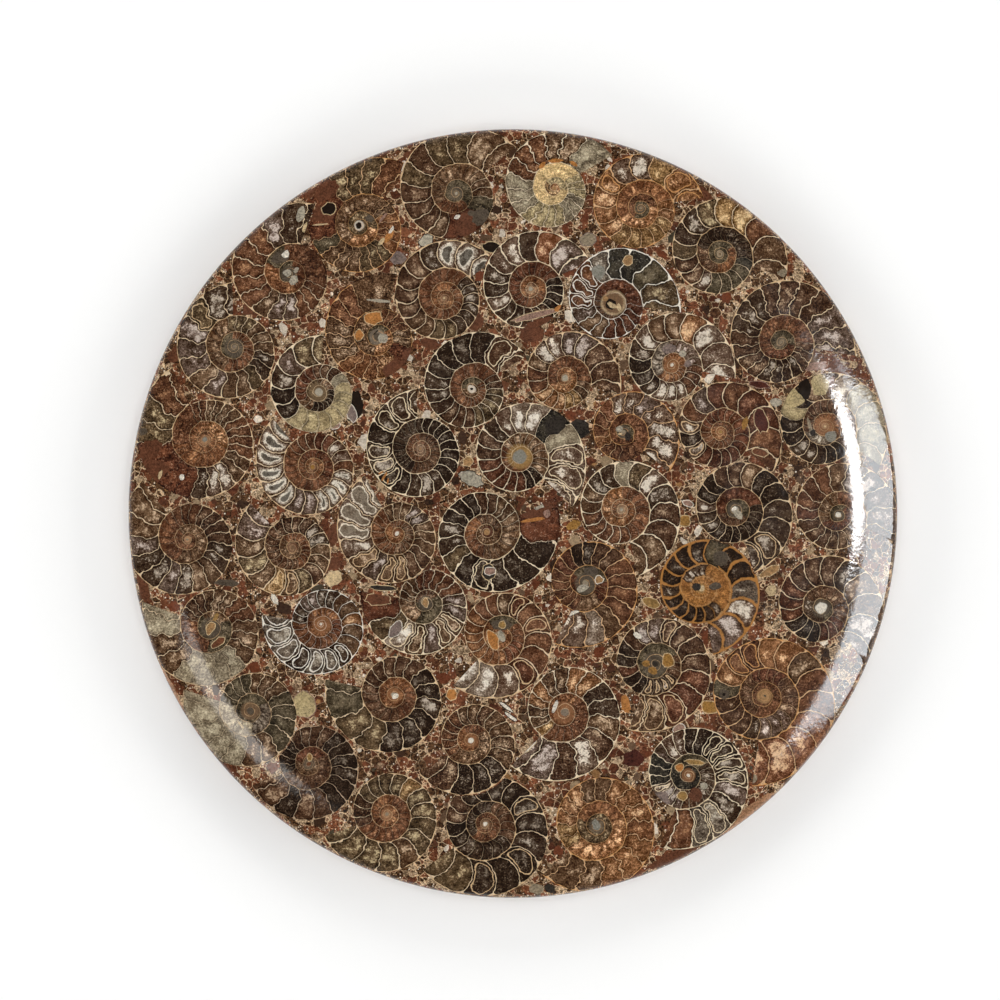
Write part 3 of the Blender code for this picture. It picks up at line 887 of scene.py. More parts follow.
# Each ammonite's look, in three parts between bars. First come the family of its colour, its
# chambers in a turn and how much they crowd inward, the run of its septa, its walls, the width
# of its lines in millimetres and how granular it is. Then comes its eye: a disc and a dot, each
# with a radius in millimetres. Last come its fillings, each from a number of turns inward.
LOOK_TABLE = """
01 olive 13.5 .5 smooth tan .3 .3 | moss 2.4 crystal .5 | 0 umber, .1 olive, .2 chocolate, .3 olive,
  .36 chocolate, .5 umber, .58 cement plain, .73 moss plain, .84 umber, 1 umber faint,
  1.45 rust faint, 1.75 moss faint;
02 chocolate 16 .4 frilly cream .3 .5 | amber .9 tan .6 | 0 clay plain, .09 umber, .2 rust, .36 clay,
  .5 sand, .7 clay, .85 sand, 1 ivory plain, 1.5 ivory faint, 1.9 sand faint, 2.3 honey faint,
  2.8 amber plain;
03 amber 12.5 .4 smooth orange .34 .5 | moss 1.5 clay .5 | 0 amber ring, .06 honey, .14 pearl,
  .3 amber ring, .38 amber, .6 honey, .9 amber, 1 ember faint, 1.5 amber faint, 2 rust faint,
  2.6 moss plain;
04 black 13 .45 arched tan .32 .3 | clay 1.1 olive .4 | 0 umber, .07 rust, .14 honey, .28 olive,
  .38 soot, .47 olive, .55 chocolate, .66 pearl, .74 moss, .95 basalt, 1 jet faint,
  1.5 chocolate faint, 1.75 ember faint, 2.1 moss plain;
05 olive 20 .1 frilly orange .28 .6 | white 1.6 jet .95 | 0 rust, .06 olive, .2 cement plain,
  .37 moss, .44 umber, .6 olive, .74 ember, .9 umber, 1 umber faint, 1.5 amber faint, 1.8 olive faint;
06 maroon 16 .3 frilly tan .28 .4 | moss 2.6 white .4 | 0 soot, .05 lilac, .12 rust, .4 umber,
  .46 lilac, .58 rust, .75 rust plain, 1.1 moss plain, 1.22 ember plain, 1.6 rust plain, 2 moss plain;
07 chocolate 14.5 .35 arched tan .32 .15 | rust 1.4 cream .35 | 0 geode, .13 soot, .22 chocolate,
  .45 umber, .54 olive, .68 soot, 1 rust faint, 1.5 rust, 2 ember faint;
08 chocolate 14.5 .4 smooth cream .38 .15 | ember .8 crystal .75 | 0 lilac, .07 peach, .13 soot,
  .2 pearl, .3 soot, .42 pearl, .5 soot, .62 chocolate, .8 jet, 1 maroon faint, 1.6 rust faint,
  1.85 ember plain, 2.4 ember faint;
09 black 14 .3 sinuous white .36 .2 | cream 4 umber 3.5 | 0 olive, .07 moss, .13 basalt, .3 slate,
  .37 rust ring, .5 lilac, .6 umber, .7 maroon, 1 maroon plain, 1.45 chocolate faint;
10 olive 18 .2 frilly tan .28 .4 | moss 1.8 clay .4 | 0 lilac, .1 chocolate, .3 soot, .5 chocolate,
  .7 soot, .85 chocolate, 1 rust faint, 1.6 maroon faint, 2 moss faint;
11 olive 15 .35 sinuous tan .3 .3 | moss 3.2 slate .6 | 0 soot, .07 olive ring, .15 lilac, .3 umber,
  .36 lilac, .46 umber, .55 olive, .62 soot, .72 umber, .85 olive, 1 umber faint, 1.4 rust,
  2 moss faint;
12 amber 17 .3 frilly orange .3 .9 | slate 2.6 moss 1.2 | 0 umber plain, .1 rust, .25 umber,
  .38 ember, .52 amber, .62 cement plain, .72 umber, .85 rust, 1 umber faint, 1.5 amber faint,
  1.9 moss plain;
13 chocolate 13.5 .7 smooth cream .27 .15 | white 1.35 jet .5 | 0 chocolate ring, .06 jet, .35 soot,
  .5 chocolate, .65 olive, .9 chocolate, 1 rust faint, 1.5 rust, 2 moss plain, 2.4 umber plain;
14 maroon 13.5 .4 smooth tan .32 .5 | clay 1.2 crystal .9 | 0 chocolate, .12 lilac, .3 pearl,
  .4 umber, .5 rust, .62 amber, .76 honey, .86 umber, 1 rust faint, 1.6 amber faint, 2 ember faint;
15 black 13.5 .35 arched cream .29 .2 | ember 2.6 white .55 | 0 pearl, .13 amber, .2 umber, .33 pearl,
  .41 soot, .5 jet, .58 soot, .66 pearl, .86 rust, 1 lilac, 1.3 slate plain, 1.62 ember, 2 ember plain;
16 amber 13.5 .3 arched cream .36 .3 | olive 3.2 crystal 1.3 | 0 olive, .07 lilac, .13 soot, .24 jet,
  .33 buff faint, .45 sand faint, .62 buff faint, .78 clay faint, .88 chocolate, 1 maroon, 1.33 umber,
  1.45 jet, 1.75 chocolate, 2 olive plain;
17 buff 13.5 .4 arched tan .3 .15 | ember 3.2 cream .45 | 0 clay, .2 milk, .3 umber, .38 buff plain,
  .44 jet, .5 buff plain, .56 jet, .68 soot, .8 jet, .92 lilac, 1 chocolate, 1.6 slate, 1.9 chocolate,
  2 ember faint;
18 maroon 13 .3 sinuous orange .34 .6 | moss 2.2 clay .7 | 0 pearl, .2 lilac, .3 pearl, .4 peach,
  .5 rust, .6 amber, .72 rust, .85 rust plain, 1.7 rust faint, 2 moss plain;
19 maroon 12.5 .4 arched tan .34 .2 | ember 1.4 honey .6 | 0 rust, .1 maroon, .2 rust, .27 maroon,
  .36 lilac, .44 rust, .52 pearl ring, .6 jet, .66 pearl ring, .72 maroon, 1.5 rust, 2 rust faint,
  2.5 ember plain;
20 maroon 16 .8 frilly tan .28 .6 | ember 1.6 blue .8 | 0 rust, .08 olive, .16 cement plain, .37 soot,
  .42 pearl, .52 umber, .6 rust, .75 umber, .9 rust, 1 rust plain, 1.2 ember faint, 1.6 amber faint,
  1.9 ember faint;
21 maroon 18 .1 arched tan .34 .2 | rust 1.2 ochre .7 | 0 geode, .3 lilac, .38 geode, .57 rust,
  .64 pearl, .74 maroon, .86 rust, 1 rust faint, 1.5 maroon faint, 2 rust faint, 2.4 ember faint;
22 chocolate 15.5 .45 smooth cream .32 .15 | rust 1.2 tan .3 | 0 soot ring, .14 jet, .18 soot ring,
  .28 jet ring, .36 jet, .44 soot, .56 jet, 1 jet faint, 1.4 chocolate faint, 2 rust faint;
23 buff 15 .3 smooth cream .4 .2 | honey 4.1 blue 2.35 | 0 pearl ring, .13 clay, .2 basalt plain,
  .27 milk, .4 pearl, .46 soot, .52 chocolate, .62 maroon, .9 jet, 1 umber, 1.5 rust,
  1.75 ember plain, 2 honey plain;
24 chocolate 17 .2 wavy tan .27 .3 | amber 1.1 clay .4 | 0 umber, .1 soot, .14 lilac, .2 soot,
  .27 lilac, .34 soot, .42 umber, .5 soot, .62 chocolate, .8 rust faint, 1.3 umber faint, 2 rust faint;
25 black 15 .2 arched tan .34 .6 | rust 1.8 umber .7 | 0 lilac, .05 umber, .1 olive, .17 umber,
  .24 honey ring, .3 umber ring, .36 olive, .42 chocolate, .5 umber, .6 soot, .75 chocolate, 1.4 rust,
  2 umber faint;
26 chocolate 17 .15 sinuous tan .36 .2 | rust 1.6 white .7 | 0 agate, .17 pearl, .25 umber ring,
  .29 lilac, .35 umber ring, .44 chocolate, .55 umber, .7 lilac, .85 umber, 1 rust, 1.4 chocolate,
  1.8 rust, 2 ember plain;
27 black 12.5 .7 wavy cream .36 .2 | maroon 2 tan 1 | 0 cement plain, .04 soot, .1 jet, .3 jet ring,
  .36 jet, .42 olive, .5 soot, .62 jet, .75 chocolate, .88 umber, 1 umber faint, 1.35 rust faint,
  1.5 ember faint, 1.7 chocolate faint, 2 umber plain;
28 chocolate 14.5 .25 arched cream .38 .4 | umber 1.4 crystal .5 | 0 umber, .05 chocolate, .2 soot,
  .26 pearl, .31 olive, .38 clay, .43 soot, .55 umber, .7 rust, 1 rust faint, 1.4 amber faint,
  2 ember faint;
29 black 14 .4 arched tan .3 .1 | moss 2.6 crystal 1.1 | 0 soot ring, .06 soot, .2 jet, .32 umber,
  .4 chocolate, .5 jet, .62 pearl, .7 soot, .8 jet, 1.2 maroon plain, 1.7 chocolate faint,
  2.1 moss plain;
30 chocolate 14 .4 wavy tan .28 .2 | moss 1.9 white .9 | 0 lilac, .25 umber, .35 rust, .5 maroon,
  .6 chocolate, .75 umber, 1 rust faint, 1.3 umber, 1.6 maroon faint, 2.2 moss plain;
31 maroon 17 .1 wavy orange .32 .3 | moss 3.5 clay 1 | 0 pearl, .06 milk, .12 umber, .15 rust ring,
  .2 rust, .4 chocolate, .5 jet, .62 maroon, .75 rust, 1 umber faint, 1.15 maroon, 1.35 moss plain,
  1.7 maroon faint, 1.9 moss plain;
32 black 13 .4 arched copper 1.05 .2 | honey 1.6 cream .8 | 0 lilac, .07 pearl, .14 slate, .2 jet,
  .35 moss plain, .44 jet, .66 soot, .74 jet, 1.1 copper plain, 1.4 soot plain, 1.6 copper plain;
33 maroon 13 .4 arched tan .32 .2 | moss 3 white 1.9 | 0 lilac, .1 umber, .22 soot, .3 chocolate,
  .5 maroon, .7 jet, .85 maroon, 1 chocolate faint, 1.5 soot faint, 1.9 moss plain;
34 chocolate 16 .3 frilly tan .26 .5 | moss 3.4 tan .6 | 0 clay, .05 umber, .2 clay faint, .4 umber,
  .55 rust, .7 umber, .85 chocolate, 1 rust plain, 1.25 moss plain, 1.6 umber, 1.9 moss plain;
35 black 15 .3 arched white .28 .2 | ember 3 white .5 | 0 slate ring, .1 jet ring, .18 slate ring,
  .29 soot ring, .4 umber, .5 amber, .58 umber, .66 soot, .8 lilac, .9 soot, 1 rust, 1.4 maroon,
  1.55 ember faint, 2 ember plain;
36 umber 15 .3 sinuous cream .36 .3 | moss 2.4 cream .8 | 0 cement plain, .06 olive, .12 milk ring,
  .2 umber ring, .26 lilac, .32 umber ring, .44 lilac, .55 rust, .7 maroon faint, .85 umber,
  1 umber faint, 1.2 moss plain, 1.6 chocolate faint, 2 moss plain;
37 amber 13 .5 arched tan .36 .3 | slate 1.8 milk .9 | 0 milk, .06 pearl, .17 maroon ring, .24 rust,
  .33 rust ring, .4 rust, .47 maroon ring, .54 umber, .62 rust, .72 ember, 1.15 maroon,
  1.3 rust faint, 1.45 moss plain, 1.7 ember plain;
38 maroon 15 .2 smooth tan .32 .3 | moss 4 basalt 1 | 0 umber ring, .06 maroon ring, .15 maroon,
  .25 chocolate, .45 chocolate ring, .53 lilac, .6 chocolate, .66 jet, .78 maroon, .88 jet,
  1 soot ring, 1.2 chocolate, 1.38 moss plain;
39 amber 15 .2 arched orange .34 .4 | tan 2.4 moss .4 | 0 peach, .22 rust, .3 umber, .4 amber,
  .5 rust ring, .62 amber, .7 moss, .77 chocolate, .9 soot, 1 lilac, 1.12 chocolate, 1.35 maroon,
  1.6 chocolate, 1.9 rust faint;
40 umber 15 .3 wavy tan .26 .3 | umber 3 moss 1.2 | 0 clay faint, .25 umber, .4 moss, .6 umber,
  .8 moss, 1 clay faint, 1.3 slate faint, 1.6 moss faint, 1.85 moss plain;
41 chocolate 13 .3 wavy tan .28 .2 | ember 2.4 crystal .9 | 0 moss, .05 olive, .22 jet, .4 soot,
  .48 jet, .6 chocolate, 1 chocolate faint, 1.3 rust faint, 1.6 ember faint, 2 ember plain;
42 amber 14 .3 wavy cream .32 .7 | ember 3.4 slate 1.3 | 0 lilac, .05 chocolate, .12 pearl,
  .18 chocolate, .26 umber, .33 soot, .44 amber, .6 umber, .7 amber, .85 umber, .95 honey,
  1 rust faint, 1.2 rust plain, 1.5 ember plain;
43 umber 16 .3 wavy dim .24 .3 | moss 2 rust .7 | 0 chocolate, .08 jet, .15 chocolate, .25 jet,
  .6 chocolate, .8 jet, 1 chocolate faint, 1.5 maroon faint, 1.9 umber faint;
44 olive 14 .3 smooth tan .3 .9 | ember 2.4 white .9 | 0 chocolate, .1 jet, .3 umber, .5 chocolate,
  .6 umber, .7 rust, 1 umber faint, 1.5 rust faint, 1.7 ember plain;
45 black 18 .3 wavy cream .34 .2 | ember 2.2 white .5 | 0 rust, .03 soot, .07 slate ring, .16 soot,
  .22 lilac, .28 soot ring, .36 jet ring, .46 jet, .56 pearl, .66 lilac, .72 basalt, .82 pearl ring,
  .88 lilac, 1 chocolate, 1.1 soot, 1.4 moss plain, 1.7 basalt plain;
46 olive 13.5 .25 arched tan .25 .2 | umber 1.6 white .7 | 0 olive, .06 jet ring, .13 jet,
  .2 jet ring, .26 soot, .34 jet, .42 jet ring, .5 jet, .75 chocolate, .85 jet, 1.3 chocolate,
  1.6 jet, 2 rust faint;
47 amber 15 .2 frilly orange .28 .45 | moss 2.6 blue 1.1 | 0 umber, .12 amber, .3 ember, .4 amber,
  .55 umber, .7 amber, .85 honey, 1 amber faint, 1.4 ember faint, 1.8 olive faint;
48 umber 14 .3 smooth tan .32 .4 | ember 2 clay .6 | 0 olive, .2 umber, .3 olive, .5 honey, .6 olive,
  .8 chocolate, 1 rust faint, 1.6 ember faint
"""


def numbered(table):
    """What the table says of each ammonite, by its number. A semicolon parts the entries."""
    return dict(entry.split(None, 1) for entry in table.split(";"))


def parsed_fill(entry):
    """A filling from its turns, its mineral and perhaps a word on its lines."""
    turns, name, manner = (entry + " full").split()[:3]
    return Fill(float(turns), MINERALS[name], float(manner == "ring"),
                LINE_STRENGTHS.get(manner, 1.0))


def parsed_look(entry):
    traits, eye, fills = entry.split("|")
    family, septa, crowd, run, walls, line, grain = traits.split()
    return Look(family, float(septa), float(crowd), run, walls, float(line), float(grain),
                eye.split(), [parsed_fill(fill) for fill in fills.split(",")])


LOOKS = {number: parsed_look(entry) for number, entry in numbered(LOOK_TABLE).items()}


# ------------------------ materials

def new_material(name):
    material = bpy.data.materials.new(name)
    material.use_nodes = True
    tree = material.node_tree
    shader = tree.nodes["Principled BSDF"]
    place = made(tree, "ShaderNodeTexCoord", {}, {}, "Object")
    place = multiplied(place, 1 / MM)
    return material, tree, shader, place


def ramp(tree, position, starts, values):
    """Bands of a colour and a number, each from its start on the ramp to the next."""
    node = tree.nodes.new("ShaderNodeValToRGB")
    plug(position, node.inputs[0])
    band = node.color_ramp
    band.interpolation = "CONSTANT"
    while len(band.elements) < len(starts):
        band.elements.new(0.5)
    for element, start, value in zip(band.elements, starts, values):
        element.position = start
        element.color = value
    return Value(tree, node.outputs[0]), Value(tree, node.outputs[1])


ROUGHNESS = 0.12
ROUGHNESS_RANGE = 0.25
RIPPLE_STRENGTH = 0.1
RIPPLE_HEIGHT = 0.0003
STONE_IOR = 1.5


def polish(tree, shader, place, tint, extra_roughness):
    """A polished stone surface: slightly uneven gloss and a faint ripple from the polishing."""
    plug(tint, shader.inputs["Base Color"])
    smear = noise(place, 0.15, 2.0, 0.6)
    uneven = (smear - 0.5) * ROUGHNESS_RANGE
    plug(ROUGHNESS + uneven + extra_roughness, shader.inputs["Roughness"])
    shader.inputs["IOR"].default_value = STONE_IOR
    bump = tree.nodes.new("ShaderNodeBump")
    bump.inputs["Strength"].default_value = RIPPLE_STRENGTH
    bump.inputs["Distance"].default_value = RIPPLE_HEIGHT
    plug(noise(place, 0.9, 1.0), bump.inputs["Height"])
    tree.links.new(bump.outputs["Normal"], shader.inputs["Normal"])


# Between one ammonite's chambers and the next one's in their random numbers.
SEED_STEP = 37


def filling_bands(tree, look, chamber):
    """What fills this chamber and how strong its lines are, from ramps along the coil."""
    last = phase_at(look, RAMP_TURNS)
    fills = look.fills
    starts = [round(phase_at(look, fill.turns)) / last for fill in fills]
    position = (chamber + 0.5) / last
    bands = {}
    for part in ("dark", "middle", "light", "core"):
        tints = [(*colour(getattr(fill.mineral, part)), fill.lines) for fill in fills]
        bands[part], bands["lines"] = ramp(tree, position, starts, tints)
    traits = [(fill.mineral.hearts, fill.ringed, fill.mineral.depth / DEEPEST, 1) for fill in fills]
    bands["traits"], _ = ramp(tree, position, starts, traits)
    return bands


def fossil_material(shell, look, coil, filling):
    material, tree, shader, place = new_material("fossil_" + shell.number)
    lean_x, lean_y = shell.lean * direction(shell.lean_angle)
    where = use_group(tree, coil, {
        "place": place, "x": shell.x, "y": shell.y, "mouth": shell.mouth / 360,
        "turn": shell.turn, "radius": shell.radius, "growth": log(shell.growth),
        "lean_x": lean_x, "lean_y": lean_y, "septa": look.septa, "crowd": look.crowd,
        **RUNS[look.run]._asdict()})
    wall, septum = WALLS[look.walls]
    disc, disc_radius, dot, dot_radius = look.eye
    drawn = use_group(tree, filling, {
        **where, **filling_bands(tree, look, where["chamber"]), "place": place,
        "grain": look.grain, "line_width": look.line,
        "wall": colour(wall), "septum": colour(septum),
        "disc": named_tint(disc), "disc_radius": float(disc_radius),
        "dot": named_tint(dot), "dot_radius": float(dot_radius),
        "seed": int(shell.number) * SEED_STEP})
    tint = with_chips(tree, drawn["tint"], drawn["crystals"], drawn["clouds"])
    polish(tree, shader, place, tint, 0.0)
    return material


def named_tint(name):
    return colour(FLAT_TINTS[name] if name in FLAT_TINTS else MINERALS[name].middle)


def with_chips(tree, tint, crystals, clouds):
    """The colour under it, save on the faces of chips, which carry their own."""
    chip = attribute(tree, "chip_colour", "Vector")
    share = attribute(tree, "chip_share", "Fac")
    mottle = 0.95 + (crystals * 0.7 + clouds * 0.3) * share
    chip = multiplied(chip, most(mottle, 0.3))
    return mixed(tint, chip, rise(0.0, 0.01, share))


def cement_tint(place, crystals, clouds):
    """Red cement, dark and grey fragments, and thin veins between some of them."""
    uneven = warped(place)
    luck, other_luck, third_luck = components(cells(uneven, 0.4, output="Color"))
    red = mixed(colour("3f2114"), colour("6e4029"), rise(-0.7, 0.7, clouds + crystals * 0.4))
    dark = mixed(colour("261509"), colour("573c26"), rise(-0.6, 0.7, crystals))
    tint = mixed(red, dark, rise(0.45, 0.55, luck))
    grey = mixed(colour("664f38"), colour("a38c70"), rise(-0.5, 0.6, crystals))
    tint = mixed(tint, grey, rise(0.78, 0.88, other_luck + clouds * 0.2))
    border = cells(uneven, 0.4, "DISTANCE_TO_EDGE")
    vein = fall(0.02, 0.07, border) * rise(0.4, 0.6, third_luck)
    tint = mixed(tint, colour("d2b48e"), vein * 0.75)
    granular = rise(-0.2, 0.6, clouds)
    return multiplied(tint, most(1.08 + crystals * (0.6 + granular * 0.85), 0.15))


def with_grains(place, tint, crystals, clouds):
    """The tint with a speckle of light grains here and there."""
    luck, shade, _ = components(cells(place, 1.4, output="Color"))
    gap = cells(place, 1.4) + crystals * 0.15
    grains = fall(0.2, 0.45, gap) * rise(0.66, 0.78, luck + clouds * 0.3)
    light = mixed(colour("ad8760"), colour("ece0cc"), rise(0.3, 1.0, shade))
    return mixed(tint, light, grains)


def breccia_material():
    """The breccia, with its chips on the face and a duller, sawn back."""
    material, tree, shader, place = new_material("breccia")
    crystals = (noise(place, 1.5, 2.0, 0.85) - 0.5) * 4
    clouds = (noise(place, 0.11, 3.0, 0.65) - 0.5) * 3.2
    tint = with_grains(place, cement_tint(place, crystals, clouds), crystals, clouds)
    tint = with_chips(tree, tint, crystals, clouds)
    _, _, height = components(place)
    back = fall(0.4, 1.6, height)
    sawn = mixed(colour("8a6f60"), colour("a08b7c"), rise(-0.5, 0.5, crystals))
    polish(tree, shader, place, mixed(tint, sawn, back * 0.45), back * 0.4)
    return material


# ------------------------ chips

def chip_outline(draw, x, y, length, width, angle, corners, raggedness):
    """An angular chip's outline, counterclockwise."""
    start = draw.random()
    points = []
    for corner in range(corners):
        way = tau * (corner + start + draw.uniform(-0.28, 0.28)) / corners
        reach = 1 + draw.uniform(-raggedness, raggedness)
        along, over = length / 2 * reach * cos(way), width / 2 * reach * sin(way)
        turned = radians(angle)
        points.append((x + along * cos(turned) - over * sin(turned),
                       y + along * sin(turned) + over * cos(turned)))
    return points


OUTLINE_WIDTH = 0.525

# Each ammonite's crystals and lumps: where they lie from the middle of its coil, how long and
# wide they are, the angle of their length, what they are, and an outline if they have one.
LUMPS = numbered("""
01 3.3 -10 8.5 7 70 cement, .4 -7.6 2.2 1.4 20 white, 8 -7.6 6 5.5 40 moss, 9.2 -13.4 5 1.8 -20 cream,
  5 -6.4 3 2 0 moss;
02 -3.8 7.5 3 1.5 50 orange, .6 9 5 1.4 5 orange, 6.3 8.1 3 1.3 -35 orange;
04 20.3 -5.9 3.5 2.5 20 clay;
05 -10.8 11.6 9 6 35 cement, -12 4 9 6 0 cement, -9.7 5.6 4.6 3.8 40 jet cream,
  -12.5 .35 5 .5 4 cream, 9.7 -3.5 4.4 2 60 orange, 7.4 -5.2 3.4 1.3 50 cream, 10.6 -1.4 3 1 60 white,
  3.6 2.2 3 2.4 0 moss, 7.8 2.5 4 .9 50 pink;
06 -2.8 5.4 6.4 4 20 moss, -1.2 6.3 2.9 2.2 60 white, -.7 .2 2.8 2.4 0 crystal,
  1.4 -2.1 3.2 2.6 40 crystal, 2.2 1.2 2.2 1.4 60 crystal, 3.6 19.4 3 5 -10 crystal,
  5 15 1.6 3.4 -15 cream;
08 4 -11.5 13 4.4 12 cement, 1.5 -8.6 15 2 14 pink cream, 9 -6.4 3 2 30 orange;
09 4.7 13.9 3.4 2.8 70 tan cream, -5 10 4.4 4.6 0 blue, -1 -.4 3.6 3.4 20 jet,
  -.4 -.8 3.6 1.6 -30 cream, -2.6 1.4 1.7 1.9 0 tan, 1.8 -1.4 1.5 2.4 10 cream;
12 -1.2 6.1 5.6 4 8 orange cream, -6 .6 3.2 2.8 80 orange cream, 1.8 -.4 3.4 3 0 crystal,
  5.2 -10.2 8 5 40 cement, .6 11.7 7.5 1 -5 crystal, -.5 1.5 2.2 .5 45 basalt, 10 -6 6 4 60 cement;
15 -1.2 5.2 4.6 3.2 10 lilac, 3.4 3.6 2.6 2.4 0 crystal, 5 .4 2.4 2.4 0 lilac;
17 -1.6 13.3 5.6 7.6 0 buff, -10.4 9.2 7.8 5.6 -35 buff, -6.6 12.3 4.6 7 10 jet, 2.2 14 1.8 5 -5 rust,
  1.9 -3.2 3.8 3.4 0 blue, -5 0 1 6 15 clay, -4 -2.2 2 2.4 0 basalt;
18 -1.1 1.2 2.6 2 30 crystal, -.8 -.5 1.6 .6 10 cream, 1.6 -1.2 2 3 0 basalt;
19 12.8 3.7 4.4 7.4 15 maroon cream, 12.8 -6.4 5 2.5 -15 rust cream, 7.9 3 4.2 1.8 70 ochre;
20 -17.9 -10.5 12 9 20 cement, -20.9 -5.2 3 1.8 60 pink, -14.6 -11.2 3 1.2 70 cream,
  -7.5 -12 1.5 2 0 white, -20.3 2.8 3 2.6 0 moss, -18 -3 8 6 20 cement;
22 -11.7 -8.8 3.4 .7 60 orange, -12.8 -7.6 2 .6 30 orange, -10.6 -10.4 2 .6 80 orange;
23 11.4 10 7.2 6 30 basalt;
27 15.8 7.4 9.5 7 10 cement, 15.6 9.4 6 3.6 -30 crystal, 19.4 6 2.6 2.6 0 pink,
  .8 -12.8 4.4 5 10 basalt cream, .9 -12.6 3.4 2.5 8 pink white, 15 4 8 1.2 8 orange;
29 -.4 .4 2.2 1.4 30 white, 1 -1.6 2.2 3.2 50 crystal;
31 4.4 1.25 2.5 2.3 0 tan white, -.9 -1.4 4.2 2.4 20 crystal, -4.4 -9.6 5 1.2 20 white, 2 4 5 3 0 moss;
32 -1.6 .6 3 2.4 0 basalt, 4.4 .8 4 2.6 10 moss, .4 .1 1.4 1.8 0 cream, 6 9.8 4.8 5 0 moss;
34 -.3 -.2 4.2 2.2 62 tan cream, 1.5 3.4 3 1.5 60 honey, 2.2 -4.8 5.4 2.2 40 rust cream;
36 -.1 0 1.7 3 8 tan cream, -9.6 -8.4 3 6 -32 lilac white, -15.4 1.2 8 4 -6 cement cream,
  -15 5 8 1.2 -6 basalt cream;
37 -2.3 -1.4 3.2 6.2 18 orange cream, .5 3.6 6.4 3.4 0 moss, .7 3.5 2.3 2.2 0 honey cream,
  .4 -.2 2 4 20 crystal;
38 -2.8 .3 2.5 2.3 0 ochre, -.8 -2 3.2 2.5 -20 ochre, 4.3 1.2 3.6 4.2 20 ochre cream,
  -5.6 9.2 2.8 1.8 -30 white, -8.5 -13.1 3.2 4.4 15 orange;
39 -3.2 -16.2 2.6 4.6 10 clay, -3.6 -27 3 3 0 clay, -13.1 .4 3.4 3.4 0 moss, -13.1 .4 1.1 1.1 0 jet;
40 -2.5 -5.3 5 .7 -50 cream, -1 -6.4 3 2 0 clay;
41 .4 -.3 2.2 1.8 30 white;
42 -11.2 -10.9 6.6 1.3 46 white cream, -3 2 1.3 4.4 -20 white;
43 .3 2.2 1.5 2.5 0 honey cream;
45 2.1 4.2 6 1.5 -4 honey cream, -2.8 2.4 2.6 2.5 0 orange cream, -1.8 -6.7 3.2 2.6 -10 honey cream,
  2.2 -6.4 4.4 4.6 0 cement, 5 -3.6 2.6 2.2 0 crystal, -9 -8 6 6 0 lilac;
47 -.4 .2 2.6 3.8 20 blue
""")

# The same for the breccia, from the middle of the plate: single fragments, and the bands along
# the rim.
FRAGMENTS = """
-92.6 -22.3 8 2.2 -5 moss, -77 -27.5 4 1.8 -65 white, -57.8 -21 6 4.6 30 cream,
-57.5 -6.5 9 5 60 cement, -59 -16.5 8 4 20 cement, -42 -24 9 1.4 -4 basalt cream,
-14.6 16.7 3.2 2.8 0 tan cream, -13.6 11.2 8 4.4 -25 crystal basalt, 19.5 -3.7 4.4 3.2 20 ochre,
44.5 -28.8 5.4 3 -20 honey cream, 83 -18.6 7.4 2.4 24 tan cream, 83.4 -24.9 3.6 3.8 0 cream,
55.4 -2.3 3.6 3.4 20 ochre cream, 56.5 3.4 3.4 1.8 -20 pink white, 36.4 -61.6 3 6 10 orange,
38.7 -79.1 7 5.4 0 maroon, -2.2 -62.4 5.4 1 -35 white basalt, -.6 -65.6 5 1 -35 white basalt,
-19.8 -58.3 3.4 3.4 45 orange cream, -67.6 -61.6 7.4 8 0 buff pink, 7.6 -121.6 4.8 3.6 0 clay,
11.8 -121.4 3.6 3.2 0 basalt, 21.2 27.4 7.2 6.2 -20 basalt, -50.4 35.4 4.4 8.6 10 jet,
-52 32.4 2.8 5.4 15 lilac white, -57.4 28.6 3 2.6 0 pink white, -73.5 77.4 2.4 3.6 0 pink,
-50 82.6 5 3 0 crystal jet, -37 82.5 5 4.4 0 lilac, -28 88 4.6 4 20 crystal jet,
72.6 -62.6 3.4 3.8 0 clay white, 69 -76 4.6 4 20 clay, 63.4 -62.4 5.6 3.6 -15 ochre cream,
53.6 -69.6 3.8 3.4 0 pink white, -92 46.6 3.4 5 20 honey pink, 24.2 88.4 4.6 4.2 0 clay lilac,
6 58 8 6 10 cement, -6.6 86 6.4 3.2 -10 jet cream, -3.4 83.4 7 1.2 10 cream, -23.4 49 7 5 20 cement,
-26.6 55 6 4.4 -20 cement, -84 67 7 5 40 cement, -3.6 27.6 9 3 15 cement, 8.6 -16 6 3.6 20 cement,
-12 62 5 6 0 cement, 27 81.6 6 4 0 maroon, 21 84 5 4 20 rust, 88 31.8 3.4 2.4 0 pink,
79.4 41.6 6 2 -10 maroon pink, 84.8 36 4 3 0 crystal, 46 36 5 3 0 rust lilac, 97.6 47.6 8 3 10 pink,
105 47 7 4 -20 cement, 114 40 7 3 -65 cement, -118 33 3 5 0 honey peach, -109 52 8 4 50 cement,
-60.6 -32 5 3 0 pink
"""
RIM_BANDS = """
-112.5 -55 20 3.6 -62 peach, -120 -22 16 3.6 -78 cement, -106 64 14 3 32 cement,
-60 106 18 4 27 cement, -30 117 12 3 14 cement, 76 -97 22 3.4 38 peach, 52 -111 18 3.4 25 cement,
36 -117.6 14 3 17 cement, 96 -78 14 2.6 51 pink, 24 117 12 3 -12 rust, 60 104 12 4 -30 cement,
84 88 12 4 -44 cement
"""


